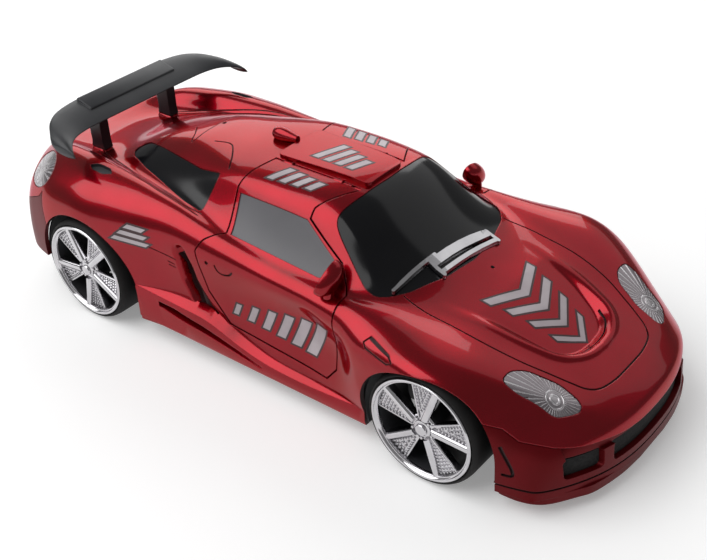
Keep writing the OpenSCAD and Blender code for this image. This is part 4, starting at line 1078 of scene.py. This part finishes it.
RED, BUMPER_RED = (candy_red, painted_shade_inside, black_plastic), (satin_red, painted_shade_inside)
SCREEN, WINDOW = (screen_black, black_plastic), (window_grey, black_plastic)
piece(shell, "red_shell", "car", RED, "body_red", "body_shell")
piece(front_bumper, "nose_bumper", "car", BUMPER_RED, "bumper_red", "front_bumper")
piece(rear_bumper, "tail_bumper", "car", BUMPER_RED, "bumper_red", "rear_bumper")
piece(windscreen, "black_windscreen", "car", SCREEN, "black_glass", "windscreen")
piece(painted(roof_panel, OUTSIDE), "raised_roof", "car", (candy_red,), "body_red", "roof_panel")
piece(painted(grille, OUTSIDE), "nose_grille", "car", (grille_cloth,), "black_plastic", "grille")
pair(door, "gullwing_", "door_", RED, "body_red", "door_")
pair(window, "side_window_", "door_", WINDOW, "grey_glass", "door_glass_")
pair(quarter, "rear_quarter_", "car", SCREEN, "black_glass", "quarter_glass_")
pair(headlight, "headlamp_", "car", (headlamp_silver, painted_shade_inside), "chrome", "headlight_")
pair(tail_light, "tail_lamp_", "car", (tail_silver, painted_shade_inside), "chrome", "tail_light_")

# Rear wing: (half width, front x, rear x, front z, rear z)
WING_KEYS = (
    (0, -100, -117, 73, 77.9), (20, -100, -117, 73, 77.9), (34, -99.5, -115.5, 73, 77.4),
    (42, -97, -111.5, 73, 76.4), (47, -92.5, -106, 72.6, 74.6), (49.5, -89, -102.5, 71.6, 72.4),
    (50, -87.6, -100, 70.5, 70.8),
)
WING_HALF = 1.2
WING_LENS = (
    (0, 0.12), (0.05, 0.38), (0.2, 0.75), (0.35, 0.94), (0.5, 1), (0.65, 0.94), (0.8, 0.75), (0.95, 0.38),
    (1, 0.12),
)
WING_TILT = radians(16.1)
WING_BLOCK, WING_BLOCK_PLACE, WING_BLOCK_EDGE = (9.2, 48.2, 2.1), (-111.3, 0, 77.1), 0.5
POST_FOOT, POST_WAIST, POST_FLARE, POST_HALF = 4, 3.4, 3, 2.3


def wing_ring(key):
    y, front_x, rear_x, front_z, rear_z = key
    front = Vector((front_x, y, front_z))
    chord = Vector((rear_x, y, rear_z)) - front
    up = Vector((chord.z, 0, -chord.x)).normalized() * WING_HALF
    over = [front + chord * t + up * h for t, h in WING_LENS]
    under = [front + chord * t - up * h for t, h in reversed(WING_LENS)]
    return over + under


wing_path = smooth_path([(-k[0], *k[1:]) for k in reversed(WING_KEYS[1:])] + list(WING_KEYS), 8)
tilted = Matrix.Translation(WING_BLOCK_PLACE) @ Matrix.Rotation(WING_TILT, 4, "Y")
blade = joined(wrapped([wing_ring(k) for k in wing_path]), block(tilted, WING_BLOCK, WING_BLOCK_EDGE))
piece(blade, "wing_foil", "car", (wing_black,), "black_plastic", "wing_blade")


def wing_under(x):
    _, front_x, _, front_z, _ = WING_KEYS[0]
    return front_z + (front_x - x) * tan(WING_TILT) - WING_HALF


def wing_post():
    """Post under the wing, wider at its foot."""
    ahead, behind = POST_X + POST_WAIST, POST_X - POST_FOOT
    flare = FOOT_Z + POST_FLARE
    side = (
        (behind, FOOT_Z), (POST_X + POST_FOOT, FOOT_Z), (ahead, flare), (ahead, wing_under(ahead)),
        (behind, wing_under(behind)), (POST_X - POST_WAIST, flare),
    )
    return prism(side, Y, POST_Y - POST_HALF, POST_Y + POST_HALF)


pair(wing_post(), "wing_leg_", "car", (wing_black,), "black_plastic", "wing_post_")

# Door mirrors: half egg with a flat glass, on a stalk
MIRROR_PLACE, MIRROR_LONG, MIRROR_TALL, MIRROR_DEEP = Vector((36, 45.5, 59.2)), 7.2, 4.2, 5.8
MIRROR_ALONG = Vector((0.12, -0.78, 0.61)).normalized()
MIRROR_AHEAD = Vector((0.93, -0.12, -0.34)).normalized()

# Rim of the mirror: (distance ahead, size), and its stalk: (y, z, radius)
MIRROR_RIM = ((-0.02, 0.84), (0.02, 0.88), (0.02, 0.94), (0, 0.98), (0.06, 1), (0.2, 0.99))
MIRROR_STEPS = 9
STALK_X, STALK_FLAT = 38, 0.8
STALK = ((47.2, 49.6, 2.8), (47, 50.6, 2.4), (46.8, 52.5, 2.1), (46.5, 54.8, 2.2), (46.3, 56.4, 2))


def oval(centre, along, across, count=32):
    turns = [2 * pi * k / count for k in range(count)]
    return [centre + along * cos(a) + across * sin(a) for a in turns]


def door_mirror():
    across = MIRROR_AHEAD.cross(MIRROR_ALONG)
    shape = list(MIRROR_RIM)
    start = MIRROR_RIM[-1][0]
    for k in range(1, MIRROR_STEPS):
        a = k / MIRROR_STEPS * pi / 2
        shape.append((start + (1 - start) * sin(a), cos(a)))
    rings = [
        oval(
            MIRROR_PLACE + MIRROR_AHEAD * MIRROR_DEEP * ahead,
            MIRROR_ALONG * MIRROR_LONG * size, across * MIRROR_TALL * size,
        )
        for ahead, size in shape
    ]
    stalk = [
        oval(Vector((STALK_X, y, z)), Vector((r, 0, 0)), Vector((0, r * STALK_FLAT, 0))) for y, z, r in STALK
    ]
    return joined(wrapped(rings), wrapped(stalk))


pair(door_mirror(), "mirror_shell_", "door_", (candy_red,), "body_red", "mirror_")

# Roof knob behind the raised panel: (radius, distance behind its front end)
KNOB_FRONT, KNOB_Z = -13.8, 78.7
KNOB_PROFILE = (
    (0, 0), (1.3, 0), (1.6, 1.2), (2, 3), (2.4, 5), (2.7, 7), (2.8, 8.4), (2.75, 9.4), (2.55, 10.4),
    (2.1, 11.4), (1.3, 12.1), (0, 12.4),
)
backwards = Matrix.Translation((KNOB_FRONT, 0, KNOB_Z)) @ Matrix.Rotation(-pi / 2, 4, "Y")
knob = turned(KNOB_PROFILE, backwards, SMALL_STEPS)
piece(knob, "antenna_knob", "car", (candy_red,), "body_red", "roof_knob")

# Wheels, from profiles of (radius, depth behind the outer face)
TYRE_PROFILE = (
    (19.5, 1.3), (20.6, 1.3), (20.8, 0.75), (21.2, 0.6), (21.6, 0.9), (22.1, 1.9), (22.35, 3), (22.5, 4.5),
    (22.5, 17), (22.2, 18.3), (21.7, 19.4), (20.9, 20), (19.5, 20),
)
RIM_PROFILE = (
    (20.5, 1.15), (20.45, 0.5), (20.2, 0.15), (19.8, 0.02), (19.4, 0.2), (19.15, 0.75), (18.95, 0.95),
    (18.6, 1), (18.4, 1.35), (18.3, 2.2), (18.3, 16), (18.6, 17.2), (18.6, 19), (19.4, 19), (19.4, 1.25),
)
HUB_PROFILE = (
    (0, 0.45), (1.5, 0.5), (2, 0.65), (2.25, 1), (2.35, 1.6), (3, 1.65), (3.3, 1.85), (3.45, 2.4), (4.9, 2.5),
    (5.3, 2.8), (5.5, 3.4), (5.5, 14.4), (2.3, 14.4), (2.3, 3.3), (0, 3.3),
)
SPOKES = 5
SPOKE_IN, SPOKE_OUT = 4.2, 18.5
SPOKE_HALF, SPOKE_FROM, SPOKE_SPREAD = 2.4, 5, 0.27
SPOKE_BACK, PANEL_DEPTH, BAR_DEPTH = 4.6, 2.5, 1.0
BAR_WIDTH = 3.0
STUD_MARGINS, STUD_END = (0.75, 1.5), SPOKE_OUT - 0.5
STUD_START, STUD_PITCH, STUD_FOOT, STUD_TOP, STUD_RISE = 7.2, 1.3, 0.68, 0.36, 0.55
LUG_RING, LUG_DEPTH, LUG_TOP, LUG_FOOT, LUG_RISE = 4.1, 2.2, 0.5, 0.75, 1.2
RIM_INSIDE = 4.2


def spoke_half(r):
    """Half width of a spoke at a radius."""
    return SPOKE_HALF + (r - SPOKE_FROM) * SPOKE_SPREAD


SPOKE_KEYS = [(r, spoke_half(r)) for r in (SPOKE_IN, 8, 12, 16, SPOKE_OUT)]


def spoke_bar(half):
    """Section of the polished bar along the leading edge of a spoke."""
    a, b = -half, BAR_WIDTH - half
    return (
        (a, SPOKE_BACK), (a, BAR_DEPTH + 1), (a + 0.35, BAR_DEPTH + 0.3), (a + 0.9, BAR_DEPTH),
        (b - 0.9, BAR_DEPTH), (b - 0.35, BAR_DEPTH + 0.3), (b, BAR_DEPTH + 1), (b, SPOKE_BACK),
    )


def spoke_panel(half):
    """Section of the panel beside the bar, with a raised border."""
    a, b = BAR_WIDTH - half - 0.2, half
    return (
        (a, SPOKE_BACK), (a, PANEL_DEPTH), (b - 0.9, PANEL_DEPTH), (b - 0.7, PANEL_DEPTH - 0.5),
        (b - 0.2, PANEL_DEPTH - 0.5), (b, PANEL_DEPTH - 0.2), (b, SPOKE_BACK),
    )


def spoke_studs():
    """Rows of small square studs on the panel."""
    bm = bmesh.new()
    r = STUD_START
    while r < STUD_END:
        a, b = BAR_WIDTH - spoke_half(r) + STUD_MARGINS[0], spoke_half(r) - STUD_MARGINS[1]
        count = int((b - a) / STUD_PITCH) + 1 if b > a else 0
        for k in range(count):
            t = a + (b - a) * (k / (count - 1) if count > 1 else 0.5)
            place = Matrix.Translation((r, t, PANEL_DEPTH - STUD_RISE / 2)) @ Matrix.Rotation(pi / 4, 4, "Z")
            add_cone(bm, place, STUD_TOP, STUD_FOOT, STUD_RISE, sides=4)
        r += STUD_PITCH
    return new_object("studs", bm)


def wheel_lugs():
    bm = bmesh.new()
    for k in range(SPOKES):
        a = 2 * pi * (k + 0.5) / SPOKES
        place = Matrix.Translation((LUG_RING * cos(a), LUG_RING * sin(a), LUG_DEPTH))
        add_cone(bm, place, LUG_TOP, LUG_FOOT, LUG_RISE, sides=14)
    return new_object("lugs", bm)


def rim(place, angle):
    """Left-hand rim with its spokes from the given angle."""
    parts = [lofted(SPOKE_KEYS, spoke_bar), lofted(SPOKE_KEYS, spoke_panel), spoke_studs()]
    turning = []
    for k in range(SPOKES):
        for part in parts:
            other = copy_of(part)
            other.data.transform(Matrix.Rotation(radians(angle) + 2 * pi * k / SPOKES, 4, "Z"))
            turning.append(other)
    discard(*parts)
    lugs = wheel_lugs()
    lugs.data.transform(Matrix.Rotation(radians(angle), 4, "Z"))
    still = Matrix.Identity(4)
    barrel, hub = turned(RIM_PROFILE, still, ROUND_STEPS), turned(HUB_PROFILE, still, SMALL_STEPS)
    whole = joined(barrel, hub, lugs, *turning)
    for f in whole.data.polygons:
        if f.center.z > RIM_INSIDE:
            f.material_index = INSIDE
    whole.data.transform(place)
    bm = bmesh.new()
    bm.from_mesh(whole.data)
    face_out(bm)
    bm.to_mesh(whole.data)
    bm.free()
    return whole


# Wheels by end: (x, angle of the first spoke, body)
WHEELS = {"front_": (AXLE_X, 86, "wheel_front_"), "rear_": (-AXLE_X, 57.7, "rear_axle")}
for end, (x, angle, body) in WHEELS.items():
    outwards = Matrix.Translation((x, FACE_Y, HUB_Z)) @ Matrix.Rotation(pi / 2, 4, "X")
    tyre = turned(TYRE_PROFILE, outwards, ROUND_STEPS)
    pair(rim(outwards, angle), "spoked_rim_" + end, body, (chrome, black_plastic), "chrome", "rim_" + end)
    pair(tyre, "ribbed_tyre_" + end, body, (tyre_black,), "tyre", "tyre_" + end)

# Foil trim of plain bars and chevrons, laid on the skin
FOIL_UNDER, FOIL_OVER = (-0.035, -0.01), (-0.06, -0.03)
FOIL_EDGE = 0.75


def slanted(a, b, width, height, lean):
    """Leaning bar with its foot at (a, b)."""
    return ((a, b), (a + width, b), (a + width + lean * height, b + height), (a + lean * height, b + height))


def chevron(x, half, reach, thick):
    tip = x + reach
    return ((x, half), (tip, 0), (x, -half), (x + thick, -half), (tip + thick, 0), (x + thick, half))


DOOR_BARS = [slanted(28 - 7.2 * k, 25.4 + 0.5 * k, 4.9 - 0.5 * k, 14.5 - 1.9 * k, 0.42) for k in range(6)]
BONNET_BARS = [chevron(81 + 8.2 * k, 14.6 - 2 * k, 6.4, 3.4 - 0.4 * k) for k in range(4)]
ROOF_BARS = [slanted(-4 + 5.2 * k, 16 + 0.6 * k, 3, 8.6 - 1.1 * k, -0.5) for k in range(4)]
PANEL_BARS = [slanted(-1 + 5.4 * k, -6.6, 3, 13.2 - 1.6 * k, 0.35) for k in range(4)]
FENDER_BARS = [slanted(-66 + 3.2 * k, 44.6 + 3 * k, 17 - 4 * k, 1.7, 1.2) for k in range(3)]


def foil(name, body, bars, axis, s=1, lift=0.0):
    """Silver bars on dark ones that show as their outline."""
    for tag, (outer, inner), grow, finish in (
        ("_edge", FOIL_UNDER, FOIL_EDGE, foil_dark), ("_face", FOIL_OVER, 0.0, foil_silver),
    ):
        tools = [prism(grown(outline, grow), axis, *CUT_SPAN[axis]) for outline in bars]
        left = painted(within(layer(outer - lift, inner - lift), joined(*tools)), OUTSIDE)
        piece(on_side(left, s), name + tag, body, (finish,), "chrome")
        discard(left)


for name, s in SIDES.items():
    foil("door_bars_" + name, "door_" + name, DOOR_BARS, Y, s)
    foil("roof_bars_" + name, "door_" + name, ROOF_BARS, Z, s)
    foil("fender_bars_" + name, "car", FENDER_BARS, Y, s)
foil("bonnet_bars", "car", BONNET_BARS, Z)
foil("panel_bars", "car", PANEL_BARS, Z, lift=ROOF_RISE)
discard(skin)

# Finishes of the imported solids
FINISH_OF_SLOT = {
    "body_red": candy_red, "bumper_red": satin_red, "black_plastic": black_plastic,
    "black_glass": screen_black, "grey_glass": window_grey, "chrome": chrome, "tyre": tyre_black,
    "steel": steel, "brass": brass, "nylon": nylon, "board_green": board_green, "cell_wrap": cell_wrap,
}
for sub in frame["record"]["subparts"]:
    mesh = frame["nodes"][sub["node"]].data
    mesh.materials.clear()
    mesh.materials.append(FINISH_OF_SLOT[sub["material_slot"]])

# Camera where the photograph was taken from
AZIMUTH, ELEVATION, ROLL = radians(40.091), radians(33.875), radians(-2.905)
CAMERA_PLACE = Vector((259.89, -296.20, 282.69))
FRAME_WIDTH, FOCAL_PIXELS = 707, 1164.045
TURNS = ((AZIMUTH, "Z"), (pi / 2 - ELEVATION, "X"), (ROLL, "Z"))
camera = bpy.data.objects.new("camera", bpy.data.cameras.new("camera"))
camera.data.sensor_width = 36
camera.data.lens = FOCAL_PIXELS / FRAME_WIDTH * camera.data.sensor_width
camera.data.clip_start, camera.data.clip_end = 0.01, 20
place = Matrix.Translation(CAMERA_PLACE * MM)
for angle, axis in TURNS:
    place = place @ Matrix.Rotation(angle, 4, axis)
camera.matrix_world = place
scene.collection.objects.link(camera)
scene.camera = camera

# Pale floor, soft lights and white surroundings
FLOOR_HALF = 4000
FLOOR_GLOW, WORLD_GLOW = 0.25, 0.24
LIGHT_AIM = Vector((0, 0, 0.03))

# Lights in metres and watts: (place, size, power)
LIGHTS = {
    "key": ((-0.57, -0.67, 1.15), (1.7, 1.3), 18.5),
    "rear": ((-0.9, 1.0, 0.68), (1.4, 0.8), 7),
    "top": ((0.14, 1.0, 0.95), (1.4, 0.9), 2.6),
}


def seen_white(m, strength):
    """Adds plain white to what the camera, reflections and transmission see of a surface."""
    rays = node(m, "LightPath").outputs
    seen = maths(m, "MAXIMUM", rays["Is Camera Ray"], rays["Is Glossy Ray"])
    seen = maths(m, "MAXIMUM", seen, rays["Is Transmission Ray"])
    shader_of(m).inputs["Emission Color"].default_value = (1, 1, 1, 1)
    feed(m, maths(m, "MULTIPLY", seen, strength), "Emission Strength")


def soft_light(name, place, size, power):
    data = bpy.data.lights.new(name, "AREA")
    data.shape = "RECTANGLE"
    data.size, data.size_y = size
    data.energy = power
    light = bpy.data.objects.new(name, data)
    light.location = place
    light.rotation_euler = (LIGHT_AIM - Vector(place)).to_track_quat("-Z", "Y").to_euler()
    scene.collection.objects.link(light)


bm = bmesh.new()
bmesh.ops.create_grid(bm, x_segments=1, y_segments=1, size=FLOOR_HALF)
floor = new_object("floor", bm)
floor.data.transform(Matrix.Scale(MM, 4))
floor_white = finish_of("floor_white", (0.86, 0.86, 0.86), 0.9, Specular_IOR_Level=0.0)
seen_white(floor_white, FLOOR_GLOW)
floor.data.materials[0] = floor_white
for name, light in LIGHTS.items():
    soft_light(name, *light)
scene.world = bpy.data.worlds.new("studio")
scene.world.use_nodes = True
sky = scene.world.node_tree.nodes["Background"]
sky.inputs["Color"].default_value = (1, 1, 1, 1)
sky.inputs["Strength"].default_value = WORLD_GLOW
scene.view_settings.view_transform = "Standard"
